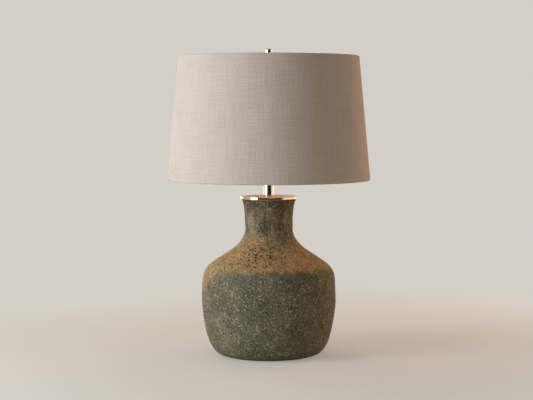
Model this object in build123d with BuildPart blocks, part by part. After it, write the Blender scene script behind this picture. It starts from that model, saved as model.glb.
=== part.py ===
from build123d import *
import os
from math import atan2, cos, degrees, hypot, radians, sin

# Bottle table lamp. A thrown ceramic bottle carries a polished cap disc and neck tube. A
# threaded pipe through the middle clamps them together and holds the harp saddle and the
# socket. The wire harp stands in the saddle, and its swivelling stud carries a tapered linen
# drum shade, which a small turned finial holds down. Millimetres, +Z up. The origin is on the
# table, under the middle of the felt pad. The switch knob points to -Y, the front, and the
# cord gland is in the heel of the bottle at +Y. The harp's legs stand at -X and +X.

# Play between pieces
running_play = 0.06
loose_play = 0.2
seat_gap = 0.1

# Bottle and felt pad
felt_thickness = 2.0
felt_inset = 3.0
bottle_height = 350.0
wall = 7.0
floor_thickness = 9.0
foot_radius = 107.0
foot_width = 18.0
recess_depth = 12.0
heel_reach = 35.5
belly_radius = 151.3
belly_height = 120.5
belly_fall = 19.5
belly_rise = 63.5
shoulder_radius = 118.7
shoulder_height = 213.4
shoulder_slope = 33.2
shoulder_bend = 38.0
shoulder_run = 36.5
throat_bend = 32.7
neck_radius = 53.8
neck_height = 284.0
neck_fall = 12.0
neck_rise = 36.0
lip_radius = 61.5
lip_flare = 5.0
lip_drop = 9.0
lip_round = 1.8

# Lamp pipe, and the hardware that clamps on it
pipe_radius = 4.85
pipe_bore = 3.2
pipe_below_nut = 1.5
pipe_in_socket = 9.0
check_plate_radius = 30.0
check_plate_thickness = 1.6
lock_washer_radius = 8.6
lock_washer_thickness = 1.2
lock_washer_teeth = 12
lock_washer_tooth_gap = 1.0
nut_flats = 14.3
nut_chamfer = 0.8
bottom_nut_height = 4.0
saddle_nut_height = 3.2

# Cord gland
gland_place = 0.42
gland_bore = 3.8
gland_relief = 0.6
gland_barrel = 6.0
gland_flange = 8.6
gland_flange_height = 2.6
gland_flange_round = 1.6
gland_collar = 7.4
gland_collar_height = 2.0
gland_sink = 2.0

# Cap disc, the plug that centres it in the neck, and the neck tube
plug_flange_thickness = 1.2
plug_flange_inset = 3.0
plug_depth = 18.0
plug_skirt = 3.0
plug_hub_radius = 11.0
plug_hub_height = 10.0
plug_rib = 2.4
plug_ribs = 6
cap_radius = 64.2
cap_thickness = 5.0
cap_edge = 0.5
cap_boss_height = 1.5
tube_radius = 11.4
tube_wall = 1.2
tube_height = 70.0
tube_cap_lip = 1.2
tube_cap_thickness = 1.5
tube_cap_spigot = 5.0

# Harp saddle
saddle_span = 28.6
saddle_width = 14.0
saddle_tip_width = 7.4
saddle_tip_height = 7.0
saddle_thickness = 1.6
saddle_rise = 16.0
saddle_bend = 6.0

# Harp, its ferrules and its swivelling stud
harp_height = 228.6
wire_radius = 2.0
harp_half_width = 56.0
harp_knee_rise = 50.0
harp_knee_bend = 26.0
harp_hip_rise = 104.0
harp_hip_bend = 60.0
harp_shoulder_rise = 176.0
harp_shoulder_bend = 36.0
harp_crown_reach = 26.0
harp_crown_bend = 24.0
harp_pad_radius = 7.0
harp_pad_thickness = 2.4
ferrule_radius = 3.7
ferrule_bead = 0.4
ferrule_bead_height = 1.6
ferrule_length = 14.0
joint_length = 12.0
stud_radius = 3.15
stud_length = 11.0
stud_point = 0.6
stud_shank = 2.5
stud_collar_radius = 9.0
stud_collar_thickness = 2.0
stud_boss_height = 1.0
stud_rivet_radius = 4.4
stud_rivet_height = 1.4

# Socket
socket_radius = 16.6
socket_sheet = 0.6
hub_radius = 7.4
hub_height = 9.0
set_screw_radius = 1.6
set_screw_height = 4.0
set_screw_proud = 1.2
socket_cap_height = 24.0
socket_cap_shoulder = 15.0
socket_cap_round = 5.0
shell_overlap = 5.0
shell_height = 52.0
shell_bead = 0.8
shell_bead_drop = 9.0
liner_thickness = 0.7
liner_top_gap = 2.0
ledge_width = 1.0
switch_radius = 12.8
switch_height = 24.5
switch_flange_height = 3.0
switch_boss_radius = 4.4
switch_boss_reach = 1.4
terminal_flat = 10.2
terminal_radius = 3.0
terminal_height = 1.8
terminal_slot = 0.8
terminal_stem_radius = 1.5
terminal_stem_length = 4.0
screw_shell_radius = 13.8
screw_shell_sheet = 0.4
screw_shell_height = 24.0
screw_shell_hole = 7.0
contact_width = 4.6
contact_length = 9.0
contact_sheet = 0.5
contact_rise = 2.6
contact_bend = 0.6
knob_reach = 33.0
knob_length = 11.0
knob_radius = 5.6
knob_flutes = 12
knob_flute_radius = 0.7
knob_edge = 0.6
knob_bore_depth = 8.0
shaft_radius = 1.75
shaft_seat = 5.0

# Bulb
bulb_length = 108.0
bulb_radius = 30.1
bulb_swell_angle = 28.0
bulb_swell_low = 18.0
bulb_neck_rise = 22.0
bulb_neck_depth = 5.0
bulb_glass_wall = 0.9
bulb_cap_radius = 13.1
bulb_cap_sheet = 0.4
bulb_cap_height = 21.0
bulb_cap_taper = 3.0
bulb_insulator_radius = 10.0
bulb_insulator_height = 4.0
bulb_button_radius = 4.6
bulb_button_height = 1.6

# Shade and its fitter
shade_top_radius = 203.2
shade_bottom_radius = 228.6
shade_height = 279.4
spider_drop = 12.7
cloth = 0.7
styrene = 0.5
ring_wire = 1.75
hem_length = 9.0
hem_notch_play = 0.3
arm_count = 3
arm_wire = 1.75
arm_step = 14.0
arm_step_inset = 12.0
arm_bend = 8.0
arm_flat = 0.5
arm_start = 10.4
fitter_radius = 16.0
fitter_hole = 5.56
fitter_thickness = 1.6

# Finial
finial_height = 29.0
finial_radius = 8.0
finial_base_height = 3.0
finial_waist_radius = 5.4
finial_waist_height = 4.0
finial_bead = 0.5
finial_bead_height = 1.6
finial_dome = 2.4
finial_tip_clearance = 1.5

# Levels, from the table up
foot_z = felt_thickness
recess_z = foot_z + recess_depth
floor_z = recess_z + floor_thickness
lip_z = foot_z + bottle_height
cap_z = lip_z + plug_flange_thickness
cap_top_z = cap_z + cap_thickness
tube_top_z = cap_top_z + tube_height
saddle_z = tube_top_z + tube_cap_thickness
saddle_top_z = saddle_z + saddle_thickness
socket_z = saddle_top_z + saddle_nut_height
socket_cap_top_z = socket_z + socket_cap_height
shell_z = socket_cap_top_z - shell_overlap
shell_top_z = shell_z + shell_height
switch_top_z = shell_z + switch_height
shaft_z = shell_z + switch_height / 2
bulb_z = switch_top_z + contact_rise + seat_gap
seat_z = saddle_top_z + harp_height
fitter_top_z = seat_z + fitter_thickness
shade_top_z = fitter_top_z + spider_drop
shade_bottom_z = shade_top_z - shade_height
ferrule_z = saddle_z + saddle_rise
joint_top_z = ferrule_z + joint_length
check_plate_z = recess_z - check_plate_thickness
lock_washer_z = check_plate_z - lock_washer_thickness
bottom_nut_z = lock_washer_z - bottom_nut_height
pipe_z = bottom_nut_z - pipe_below_nut
pipe_top_z = socket_z + pipe_in_socket

# Holes that pass over the pipe, and bores that are threaded on it
pipe_hole = pipe_radius + loose_play
pipe_thread = pipe_radius + running_play


def upright(radius, height, mode=Mode.ADD):
    """Add a cylinder that stands on the plane or the location of its context."""
    Cylinder(radius, height, align=(Align.CENTER, Align.CENTER, Align.MIN), mode=mode)


def upright_block(length, width, height, mode=Mode.ADD):
    """Add a block that stands on the plane or the location of its context."""
    Box(length, width, height, align=(Align.CENTER, Align.CENTER, Align.MIN), mode=mode)


def washer(level, radius, hole, thickness):
    """Add a flat ring at a level."""
    with BuildSketch(Plane.XY.offset(level)) as ring:
        Circle(radius)
        Circle(hole, mode=Mode.SUBTRACT)
    extrude(ring.sketch, amount=thickness)


def tube(level, radius, sheet, height):
    """Add a straight tube that stands at a level, from its outer radius and its wall."""
    washer(level, radius, radius - sheet, height)


def hex_nut(level, height):
    """Add a nut on the pipe, with its corners chamfered above and below."""
    corner_radius = nut_flats / 2 / cos(radians(30))
    with BuildSketch(Plane.XY.offset(level)) as hexagon:
        RegularPolygon(nut_flats / 2, 6, major_radius=False)
        Circle(pipe_thread, mode=Mode.SUBTRACT)
    extrude(hexagon.sketch, amount=height)
    with BuildSketch(Plane.XZ) as blank:
        with Locations((corner_radius / 2, level + height / 2)):
            outline = Rectangle(corner_radius, height)
        chamfer(outline.vertices().group_by(Axis.X)[-1], length=nut_chamfer)
    revolve(blank.sketch, axis=Axis.Z, mode=Mode.INTERSECT)


# Bottle: a thrown shell with a flared lip and a recessed foot


def bottle_wall(inset, bottom_z):
    """Draw the wall from heel to lip, at the surface or an inset inside it."""
    up = Vector(0, 1)
    slope = radians(shoulder_slope)
    climb = Vector(-cos(slope), sin(slope))
    outward = Vector(sin(slope), cos(slope))
    heel = Vector(foot_radius, bottom_z)
    belly = Vector(belly_radius - inset, foot_z + belly_height)
    shoulder = Vector(shoulder_radius, foot_z + shoulder_height) - outward * inset
    shoulder_end = shoulder + climb * shoulder_run
    neck = Vector(neck_radius - inset, foot_z + neck_height)
    lip = Vector(lip_radius - inset, lip_z)
    heel_curve = Bezier(heel, heel + Vector(heel_reach - inset, 0), belly - up * belly_fall, belly)
    Bezier(belly, belly + up * belly_rise, shoulder - climb * shoulder_bend, shoulder)
    Line(shoulder, shoulder_end)
    Bezier(shoulder_end, shoulder_end + climb * throat_bend, neck - up * neck_fall, neck)
    Bezier(neck, neck + up * neck_rise, lip - Vector(lip_flare, lip_drop), lip)
    return heel_curve, lip


with BuildPart() as bottle:
    with BuildSketch(Plane.XZ):
        with BuildLine():
            heel_curve, outer_lip = bottle_wall(0, foot_z)
            inner_lip = bottle_wall(wall, floor_z)[1]
            Line(outer_lip, inner_lip)
            Polyline(
                (foot_radius, floor_z),
                (pipe_hole, floor_z),
                (pipe_hole, recess_z),
                (foot_radius - foot_width, recess_z),
                (foot_radius - foot_width, foot_z),
                (foot_radius, foot_z),
            )
        make_face()
    revolve(axis=Axis.Z)
    fillet(bottle.edges().filter_by(GeomType.CIRCLE).group_by(Axis.Z)[-1], radius=lip_round)
    # The gland's hole goes through the heel, square to the wall
    gland_at = heel_curve @ gland_place
    gland_along = heel_curve % gland_place
    gland_plane = Plane(
        origin=(0, gland_at.X, gland_at.Y),
        x_dir=(1, 0, 0),
        z_dir=(0, gland_along.Y, -gland_along.X),
    )
    with Locations(gland_plane):
        Cylinder(gland_barrel + loose_play, 4 * wall, mode=Mode.SUBTRACT)
bottle.part.label = "bottle"

# Felt pad: covers the foot and closes the recess

with BuildPart() as felt_pad:
    upright(foot_radius - felt_inset, felt_thickness)
felt_pad.part.label = "felt_pad"

# Cord gland: a rubber grommet with a flange outside the wall and a collar inside it. Only the
# lip in the flange grips a cord, and behind it the bore is relieved

with BuildPart() as cord_gland:
    with Locations(gland_plane.offset(-gland_sink)):
        upright(gland_flange, gland_sink + gland_flange_height)
    fillet(cord_gland.edges().sort_by(Axis(gland_plane.origin, gland_plane.z_dir))[-1], gland_flange_round)
    with Locations(gland_plane.offset(-wall - gland_collar_height)):
        upright(gland_collar, gland_collar_height + gland_sink)
        upright(gland_barrel, wall + gland_collar_height)
    add(bottle.part, mode=Mode.SUBTRACT)
    with Locations(gland_plane):
        Cylinder(gland_bore, 4 * wall, mode=Mode.SUBTRACT)
    with Locations(gland_plane.offset(-2 * wall)):
        upright(gland_bore + gland_relief, 2 * wall, mode=Mode.SUBTRACT)
cord_gland.part.label = "cord_gland"

# Pipe and clamping hardware under the bottle's floor

with BuildPart() as lamp_pipe:
    tube(pipe_z, pipe_radius, pipe_radius - pipe_bore, pipe_top_z - pipe_z)
lamp_pipe.part.label = "lamp_pipe"

with BuildPart() as check_plate:
    washer(check_plate_z, check_plate_radius, pipe_hole, check_plate_thickness)
check_plate.part.label = "check_plate"

with BuildPart() as bottom_lock_washer:
    with BuildSketch(Plane.XY.offset(lock_washer_z)):
        Circle(lock_washer_radius)
        Circle(pipe_hole, mode=Mode.SUBTRACT)
        with PolarLocations(lock_washer_radius, lock_washer_teeth):
            Rectangle(2 * lock_washer_tooth_gap, lock_washer_tooth_gap, mode=Mode.SUBTRACT)
    extrude(amount=lock_washer_thickness)
bottom_lock_washer.part.label = "bottom_lock_washer"

with BuildPart() as bottom_nut:
    hex_nut(bottom_nut_z, bottom_nut_height)
bottom_nut.part.label = "bottom_nut"

# Neck plug: a moulded cup that follows the inside of the neck, with a ribbed hub


def neck_core(inset):
    """Draw the inside of the neck down to the plug's depth, at an inset inside the glaze."""
    with BuildSketch(Plane.XZ) as core:
        with BuildLine():
            heel_curve, lip = bottle_wall(inset, floor_z)
            Polyline(lip, (0, lip_z), (0, floor_z), heel_curve @ 0)
        make_face()
        with Locations((0, lip_z - plug_depth / 2)):
            Rectangle(2 * lip_radius, plug_depth, mode=Mode.INTERSECT)
    revolve(core.sketch, axis=Axis.Z)


with BuildPart() as plug_pockets:
    neck_core(wall + loose_play + plug_skirt)
    with Locations((0, 0, cap_z - plug_hub_height)):
        upright(plug_hub_radius, plug_hub_height, mode=Mode.SUBTRACT)
        with PolarLocations(lip_radius / 2, plug_ribs):
            upright_block(lip_radius, plug_rib, plug_hub_height, mode=Mode.SUBTRACT)

with BuildPart() as neck_plug:
    neck_core(wall + loose_play)
    add(plug_pockets.part, mode=Mode.SUBTRACT)
    with Locations((0, 0, lip_z)):
        upright(lip_radius - plug_flange_inset, plug_flange_thickness)
    with Locations((0, 0, lip_z - plug_depth)):
        upright(pipe_hole, plug_depth + plug_flange_thickness, mode=Mode.SUBTRACT)
neck_plug.part.label = "neck_plug"

# Cap disc: a turned plate with a low boss that centres the neck tube

tube_bore = tube_radius - tube_wall

with BuildPart() as cap_disc:
    with Locations((0, 0, cap_z)):
        upright(cap_radius, cap_thickness)
    chamfer(cap_disc.edges(), length=cap_edge)
    with Locations((0, 0, cap_top_z)):
        upright(tube_bore - running_play, cap_boss_height)
    with Locations((0, 0, cap_z)):
        upright(pipe_hole, cap_thickness + cap_boss_height, mode=Mode.SUBTRACT)
cap_disc.part.label = "cap_disc"

with BuildPart() as neck_tube:
    tube(cap_top_z, tube_radius, tube_wall, tube_height)
neck_tube.part.label = "neck_tube"

with BuildPart() as tube_cap:
    washer(tube_top_z, tube_radius + tube_cap_lip, pipe_hole, tube_cap_thickness)
    washer(tube_top_z - tube_cap_spigot, tube_bore - running_play, pipe_hole, tube_cap_spigot)
tube_cap.part.label = "tube_cap"

# Harp saddle: a bent strip whose narrowed tips carry half-round posts

with BuildPart() as harp_saddle:
    strip_z = saddle_z + saddle_thickness / 2
    with BuildSketch(Plane.XZ):
        with BuildLine():
            FilletPolyline(
                (-saddle_span, ferrule_z),
                (-saddle_span, strip_z),
                (saddle_span, strip_z),
                (saddle_span, ferrule_z),
                radius=saddle_bend,
            )
        trace(line_width=saddle_thickness)
    extrude(amount=saddle_width / 2, both=True)
    tip_z = ferrule_z - saddle_tip_height
    with BuildSketch(Plane.YZ):
        with BuildLine():
            taper = (saddle_width - saddle_tip_width) / 2
            Polyline(
                (0, saddle_z),
                (saddle_width / 2, saddle_z),
                (saddle_width / 2, tip_z),
                (saddle_tip_width / 2, tip_z + taper),
                (saddle_tip_width / 2, ferrule_z),
                (0, ferrule_z),
                close=True,
            )
        make_face()
        mirror(about=Plane.YZ)
    extrude(amount=saddle_span + saddle_thickness, both=True, mode=Mode.INTERSECT)
    with BuildSketch(Plane.XY.offset(ferrule_z)):
        with Locations((-saddle_span, 0), (saddle_span, 0)):
            Circle(wire_radius)
        Rectangle(2 * saddle_span + running_play, 2 * wire_radius, mode=Mode.SUBTRACT)
    extrude(amount=joint_length)
    with Locations((0, 0, saddle_z)):
        upright(pipe_hole, saddle_thickness, mode=Mode.SUBTRACT)
harp_saddle.part.label = "harp_saddle"

with BuildPart() as saddle_nut:
    hex_nut(saddle_top_z, saddle_nut_height)
saddle_nut.part.label = "saddle_nut"

# Harp: one bent wire, flattened and drilled at the crown, with half-round leg ends

pad_top_z = seat_z - stud_collar_thickness - running_play
pad_z = pad_top_z - harp_pad_thickness
crown_z = pad_z + harp_pad_thickness / 2
right_side = [
    (saddle_span, joint_top_z),
    (saddle_span, saddle_top_z + harp_knee_rise),
    (harp_half_width, saddle_top_z + harp_hip_rise),
    (harp_half_width, saddle_top_z + harp_shoulder_rise),
    (harp_crown_reach, crown_z),
]
left_side = [(-x, z) for x, z in reversed(right_side)]
side_bends = [harp_knee_bend, harp_hip_bend, harp_shoulder_bend, harp_crown_bend]

with BuildPart() as harp_loop:
    with BuildLine(Plane.XZ) as harp_path:
        FilletPolyline(*right_side, *left_side, radius=side_bends + side_bends[::-1])
    with BuildSketch(Plane.XY.offset(joint_top_z)):
        with Locations((saddle_span, 0)):
            Circle(wire_radius)
    sweep(path=harp_path.wires()[0])
    with BuildSketch(Plane.XY.offset(ferrule_z)):
        with Locations((-saddle_span, 0), (saddle_span, 0)):
            Circle(wire_radius)
        Rectangle(2 * saddle_span - running_play, 2 * wire_radius, mode=Mode.INTERSECT)
    extrude(amount=joint_length)
    # The crown is coined flat between the stud's collar and its rivet
    with Locations((0, 0, pad_top_z)):
        upright(stud_collar_radius + loose_play, 2 * wire_radius, mode=Mode.SUBTRACT)
    with Locations((0, 0, pad_z - 2 * wire_radius)):
        upright(stud_collar_radius + loose_play, 2 * wire_radius, mode=Mode.SUBTRACT)
    with Locations((0, 0, pad_z)):
        upright(harp_pad_radius, harp_pad_thickness)
        upright(stud_shank + running_play, harp_pad_thickness, mode=Mode.SUBTRACT)
harp_loop.part.label = "harp_loop"

# Harp stud: collar, centring boss and threaded end above the crown, riveted below it

with BuildPart() as harp_stud:
    rivet_top_z = pad_z - running_play
    stud_top_z = seat_z + stud_length
    with BuildSketch(Plane.XZ):
        with BuildLine():
            Polyline(
                (0, rivet_top_z - stud_rivet_height),
                (stud_rivet_radius, rivet_top_z - stud_rivet_height),
                (stud_rivet_radius, rivet_top_z),
                (stud_shank, rivet_top_z),
                (stud_shank, seat_z - stud_collar_thickness),
                (stud_collar_radius, seat_z - stud_collar_thickness),
                (stud_collar_radius, seat_z),
                (fitter_hole - running_play, seat_z),
                (fitter_hole - running_play, seat_z + stud_boss_height),
                (stud_radius, seat_z + stud_boss_height),
                (stud_radius, stud_top_z - stud_point),
                (stud_radius - stud_point, stud_top_z),
                (0, stud_top_z),
                close=True,
            )
        make_face()
    revolve(axis=Axis.Z)
harp_stud.part.label = "harp_stud"

# Ferrules: beaded sleeves that hold each leg end to its post

ferrules = {}
for side, x in (("left", -saddle_span), ("right", saddle_span)):
    with BuildPart() as ferrule:
        with Locations((x, 0, ferrule_z)):
            upright(ferrule_radius - ferrule_bead, ferrule_length)
            upright(ferrule_radius, ferrule_bead_height)
        with Locations((x, 0, ferrule_z + ferrule_length - ferrule_bead_height)):
            upright(ferrule_radius, ferrule_bead_height)
        with Locations((x, 0, ferrule_z)):
            upright(wire_radius + running_play, ferrule_length, mode=Mode.SUBTRACT)
    ferrule.part.label = "ferrule_" + side
    ferrules[ferrule.part.label] = ferrule.part

# Socket cap: a spun bell with a hub on the pipe and a ledge that everything inside stands on

liner_radius = socket_radius - socket_sheet - running_play
liner_bore = liner_radius - liner_thickness
flange_radius = liner_bore - running_play
skirt_radius = socket_radius + running_play + socket_sheet
throat_radius = flange_radius - ledge_width
set_screw_z = socket_z + set_screw_height

with BuildPart() as socket_cap:
    tube(socket_z, hub_radius, hub_radius - pipe_thread, hub_height)
    with BuildSketch(Plane.XZ):
        with BuildLine():
            throat_line = throat_radius + socket_sheet / 2
            FilletPolyline(
                (hub_radius - socket_sheet, socket_z + hub_height - socket_sheet),
                (throat_line, socket_z + socket_cap_shoulder),
                (throat_line, shell_z),
                radius=socket_cap_round,
            )
        trace(line_width=socket_sheet)
    revolve(axis=Axis.Z)
    washer(shell_z - socket_sheet, skirt_radius, throat_radius, socket_sheet)
    tube(shell_z, skirt_radius, socket_sheet, shell_overlap)
    with Locations(Plane(origin=(0, 0, set_screw_z), z_dir=(0, 1, 0))):
        upright(set_screw_radius + running_play, hub_radius, mode=Mode.SUBTRACT)
socket_cap.part.label = "socket_cap"

with BuildPart() as socket_set_screw:
    with Locations(Plane(origin=(0, pipe_radius, set_screw_z), z_dir=(0, 1, 0))):
        upright(set_screw_radius, hub_radius + set_screw_proud - pipe_radius)
socket_set_screw.part.label = "socket_set_screw"

# Shell and liner: both stand on the ledge and are notched for the switch shaft


def shaft_notch():
    """Cut a slot for the shaft from the lower edge up, on the front."""
    with BuildSketch(Plane.XZ) as slot:
        with Locations((0, shaft_z)):
            Circle(shaft_radius + loose_play)
        with Locations((0, (shell_z + shaft_z) / 2)):
            Rectangle(2 * (shaft_radius + loose_play), shaft_z - shell_z)
    extrude(slot.sketch, amount=skirt_radius, mode=Mode.SUBTRACT)


with BuildPart() as socket_shell:
    with Locations((0, 0, shell_top_z - shell_bead_drop), (0, 0, shell_top_z - shell_bead)):
        Torus(socket_radius - socket_sheet / 2, shell_bead)
    with Locations((0, 0, shell_z)):
        upright(socket_radius, shell_height)
        upright(socket_radius - socket_sheet, shell_height, mode=Mode.SUBTRACT)
    shaft_notch()
socket_shell.part.label = "socket_shell"

with BuildPart() as socket_liner:
    tube(shell_z, liner_radius, liner_thickness, shell_height - liner_top_gap)
    shaft_notch()
socket_liner.part.label = "socket_liner"

# Switch body: a moulded block with a flange on the ledge and a boss for the shaft

boss_tip_y = -switch_radius - switch_boss_reach
terminal_sides = ((1, 0, 0), (-1, 0, 0))


def terminal_planes(distance):
    """Return the planes that face outwards to both sides, at a distance from the middle."""
    height = Vector(0, 0, shaft_z)
    return [Plane(origin=height + Vector(side) * distance, z_dir=side) for side in terminal_sides]


with BuildPart() as switch_body:
    with Locations((0, 0, shell_z)):
        upright(switch_radius, switch_height)
    with Locations(*terminal_planes(terminal_flat)):
        upright_block(2 * switch_radius, 2 * switch_radius, switch_radius, mode=Mode.SUBTRACT)
    with Locations((0, 0, shell_z)):
        upright(flange_radius, switch_flange_height)
    with Locations(Plane(origin=(0, 0, shaft_z), z_dir=(0, -1, 0))):
        upright(switch_boss_radius, -boss_tip_y)
    with Locations(Plane(origin=(0, boss_tip_y + shaft_seat, shaft_z), z_dir=(0, -1, 0))):
        upright(shaft_radius + running_play, shaft_seat, mode=Mode.SUBTRACT)
    with Locations(*terminal_planes(terminal_flat - terminal_stem_length)):
        upright(terminal_stem_radius, terminal_stem_length, mode=Mode.SUBTRACT)
switch_body.part.label = "switch_body"

with BuildPart() as terminal_screws:
    with Locations(*terminal_planes(terminal_flat)):
        upright(terminal_radius, terminal_height)
    with Locations(*terminal_planes(terminal_flat + terminal_height)):
        Box(terminal_slot, 3 * terminal_radius, terminal_height, mode=Mode.SUBTRACT)
    with Locations(*terminal_planes(terminal_flat - terminal_stem_length)):
        upright(terminal_stem_radius, terminal_stem_length)
terminal_screws.part.label = "terminal_screws"

# Contacts: the screw shell and the bent tongue under the bulb's button

with BuildPart() as screw_shell:
    washer(switch_top_z, screw_shell_radius, screw_shell_hole, screw_shell_sheet)
    tube(switch_top_z, screw_shell_radius, screw_shell_sheet, screw_shell_height)
screw_shell.part.label = "screw_shell"

with BuildPart() as centre_contact:
    foot_line_z = switch_top_z + contact_sheet / 2
    tongue_line_z = switch_top_z + contact_rise - contact_sheet / 2
    with BuildSketch(Plane.XZ):
        with BuildLine():
            FilletPolyline(
                (-contact_length / 2, foot_line_z),
                (contact_length / 2, foot_line_z),
                (contact_length / 2, tongue_line_z),
                (-contact_length / 3, tongue_line_z),
                radius=contact_bend,
            )
        trace(line_width=contact_sheet)
    extrude(amount=contact_width / 2, both=True)
centre_contact.part.label = "centre_contact"

# Switch shaft and knob

knob_back_y = knob_length - knob_reach
shaft_back_y = boss_tip_y + shaft_seat - seat_gap
shaft_front_y = knob_back_y - knob_bore_depth

with BuildPart() as switch_shaft:
    with Locations(Plane(origin=(0, shaft_back_y, shaft_z), z_dir=(0, -1, 0))):
        upright(shaft_radius, shaft_back_y - shaft_front_y)
switch_shaft.part.label = "switch_shaft"

with BuildPart() as switch_knob:
    with BuildSketch(Plane(origin=(0, knob_back_y, shaft_z), x_dir=(1, 0, 0), z_dir=(0, -1, 0))):
        Circle(knob_radius)
        with PolarLocations(knob_radius, knob_flutes):
            Circle(knob_flute_radius, mode=Mode.SUBTRACT)
    extrude(amount=knob_length)
    with BuildSketch(Plane.XY.offset(shaft_z)):
        with Locations((knob_radius / 2, knob_back_y - knob_length / 2)):
            outline = Rectangle(knob_radius, knob_length)
        chamfer(outline.vertices().group_by(Axis.Y)[0].sort_by(Axis.X)[-1], length=knob_edge)
    revolve(axis=Axis((0, 0, shaft_z), (0, 1, 0)), mode=Mode.INTERSECT)
    with Locations(Plane(origin=(0, knob_back_y, shaft_z), z_dir=(0, -1, 0))):
        upright(shaft_radius, knob_bore_depth, mode=Mode.SUBTRACT)
switch_knob.part.label = "switch_knob"

# Bulb: screw cap, insulator, contact button and a hollow glass envelope

bulb_insulator_z = bulb_z + bulb_button_height
bulb_cap_z = bulb_insulator_z + bulb_insulator_height
bulb_cap_top_z = bulb_cap_z + bulb_cap_height
bulb_centre_z = bulb_z + bulb_length - bulb_radius


def bulb_wall(inset):
    """Draw the envelope from its mouth to its top, at the surface or an inset inside it."""
    mouth_radius = bulb_cap_radius - bulb_cap_sheet - running_play - inset
    swell = radians(bulb_swell_angle)
    crown_radius = bulb_radius - inset
    mouth = Vector(mouth_radius, bulb_cap_top_z - bulb_neck_depth)
    neck = Vector(mouth_radius, bulb_cap_top_z)
    waist = Vector(crown_radius * cos(swell), bulb_centre_z - crown_radius * sin(swell))
    climb = Vector(sin(swell), cos(swell))
    Line(mouth, neck)
    Bezier(neck, neck + Vector(0, bulb_neck_rise), waist - climb * bulb_swell_low, waist)
    top = Vector(0, bulb_centre_z + crown_radius)
    TangentArc(waist, top, tangent=climb)
    return mouth, top


with BuildPart() as bulb_glass:
    with BuildSketch(Plane.XZ):
        with BuildLine():
            outer_mouth, outer_top = bulb_wall(0)
            inner_mouth, inner_top = bulb_wall(bulb_glass_wall)
            Line(outer_mouth, inner_mouth)
            Line(outer_top, inner_top)
        make_face()
    revolve(axis=Axis.Z)
bulb_glass.part.label = "bulb_glass"

with BuildPart() as bulb_cap:
    with BuildSketch(Plane.XZ):
        with BuildLine():
            shoulder_z = bulb_cap_z + bulb_cap_taper
            Polyline(
                (bulb_insulator_radius - bulb_cap_sheet, bulb_cap_z),
                (bulb_insulator_radius, bulb_cap_z),
                (bulb_cap_radius, shoulder_z),
                (bulb_cap_radius, bulb_cap_top_z),
                (bulb_cap_radius - bulb_cap_sheet, bulb_cap_top_z),
                (bulb_cap_radius - bulb_cap_sheet, shoulder_z),
                close=True,
            )
        make_face()
    revolve(axis=Axis.Z)
bulb_cap.part.label = "bulb_cap"

with BuildPart() as bulb_insulator:
    with BuildSketch(Plane.XZ):
        with BuildLine():
            Polyline(
                (0, bulb_insulator_z),
                (bulb_button_radius, bulb_insulator_z),
                (bulb_insulator_radius, bulb_cap_z),
                (0, bulb_cap_z),
                close=True,
            )
        make_face()
    revolve(axis=Axis.Z)
bulb_insulator.part.label = "bulb_insulator"

with BuildPart() as bulb_button:
    with Locations((0, 0, bulb_z)):
        upright(bulb_button_radius, bulb_button_height)
    chamfer(bulb_button.edges().sort_by(Axis.Z)[0], length=bulb_button_height / 2)
bulb_button.part.label = "bulb_button"

# Shade: the section runs between the centres of the two wire rings

hem_radius = ring_wire + styrene + cloth
top_ring_radius = shade_top_radius - hem_radius
top_ring_z = shade_top_z - hem_radius
bottom_ring_radius = shade_bottom_radius - hem_radius
bottom_ring_z = shade_bottom_z + hem_radius
side_length = hypot(bottom_ring_radius - top_ring_radius, top_ring_z - bottom_ring_z)
side_angle = degrees(atan2(top_ring_z - bottom_ring_z, top_ring_radius - bottom_ring_radius))
side_middle = ((top_ring_radius + bottom_ring_radius) / 2, (top_ring_z + bottom_ring_z) / 2)
side_place = Location(side_middle, side_angle)
arm_angles = [90 + 360 / arm_count * number for number in range(arm_count)]

with BuildPart() as shade_top_ring:
    with Locations((0, 0, top_ring_z)):
        Torus(top_ring_radius, ring_wire)
shade_top_ring.part.label = "shade_top_ring"

with BuildPart() as shade_bottom_ring:
    with Locations((0, 0, bottom_ring_z)):
        Torus(bottom_ring_radius, ring_wire)
shade_bottom_ring.part.label = "shade_bottom_ring"

with BuildPart() as shade_liner:
    with BuildSketch(Plane.XZ):
        with Locations(side_place):
            with Locations((0, -ring_wire - styrene / 2)):
                Rectangle(side_length, styrene)
    revolve(axis=Axis.Z)
shade_liner.part.label = "shade_liner"

# Shade cover: cloth that wraps both rings, with a hem inside, notched for the arms

with BuildPart() as shade_cover:
    with BuildSketch(Plane.XZ):
        with Locations(side_place):
            SlotCenterToCenter(side_length, 2 * hem_radius)
            SlotCenterToCenter(side_length, 2 * (hem_radius - cloth), mode=Mode.SUBTRACT)
            with Locations((0, hem_radius)):
                Rectangle(side_length - 2 * hem_length, 2 * hem_radius - cloth, mode=Mode.SUBTRACT)
    revolve(axis=Axis.Z)
    notch_radius = arm_wire + hem_notch_play
    for angle in arm_angles:
        notch_plane = Plane(
            origin=(0, 0, top_ring_z),
            x_dir=Vector(0, 1, 0).rotate(Axis.Z, angle),
            z_dir=Vector(1, 0, 0).rotate(Axis.Z, angle),
        )
        with BuildSketch(notch_plane.offset(top_ring_radius - 2 * hem_radius)):
            Circle(notch_radius)
            with Locations((0, -hem_length)):
                Rectangle(2 * notch_radius, 2 * hem_length)
        extrude(amount=2 * hem_radius, mode=Mode.SUBTRACT)
shade_cover.part.label = "shade_cover"

# Fitter: a washer on the stud, with three bent wire arms out to the top ring

with BuildPart() as fitter_washer:
    washer(seat_z, fitter_radius, fitter_hole, fitter_thickness)
fitter_washer.part.label = "fitter_washer"

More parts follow.
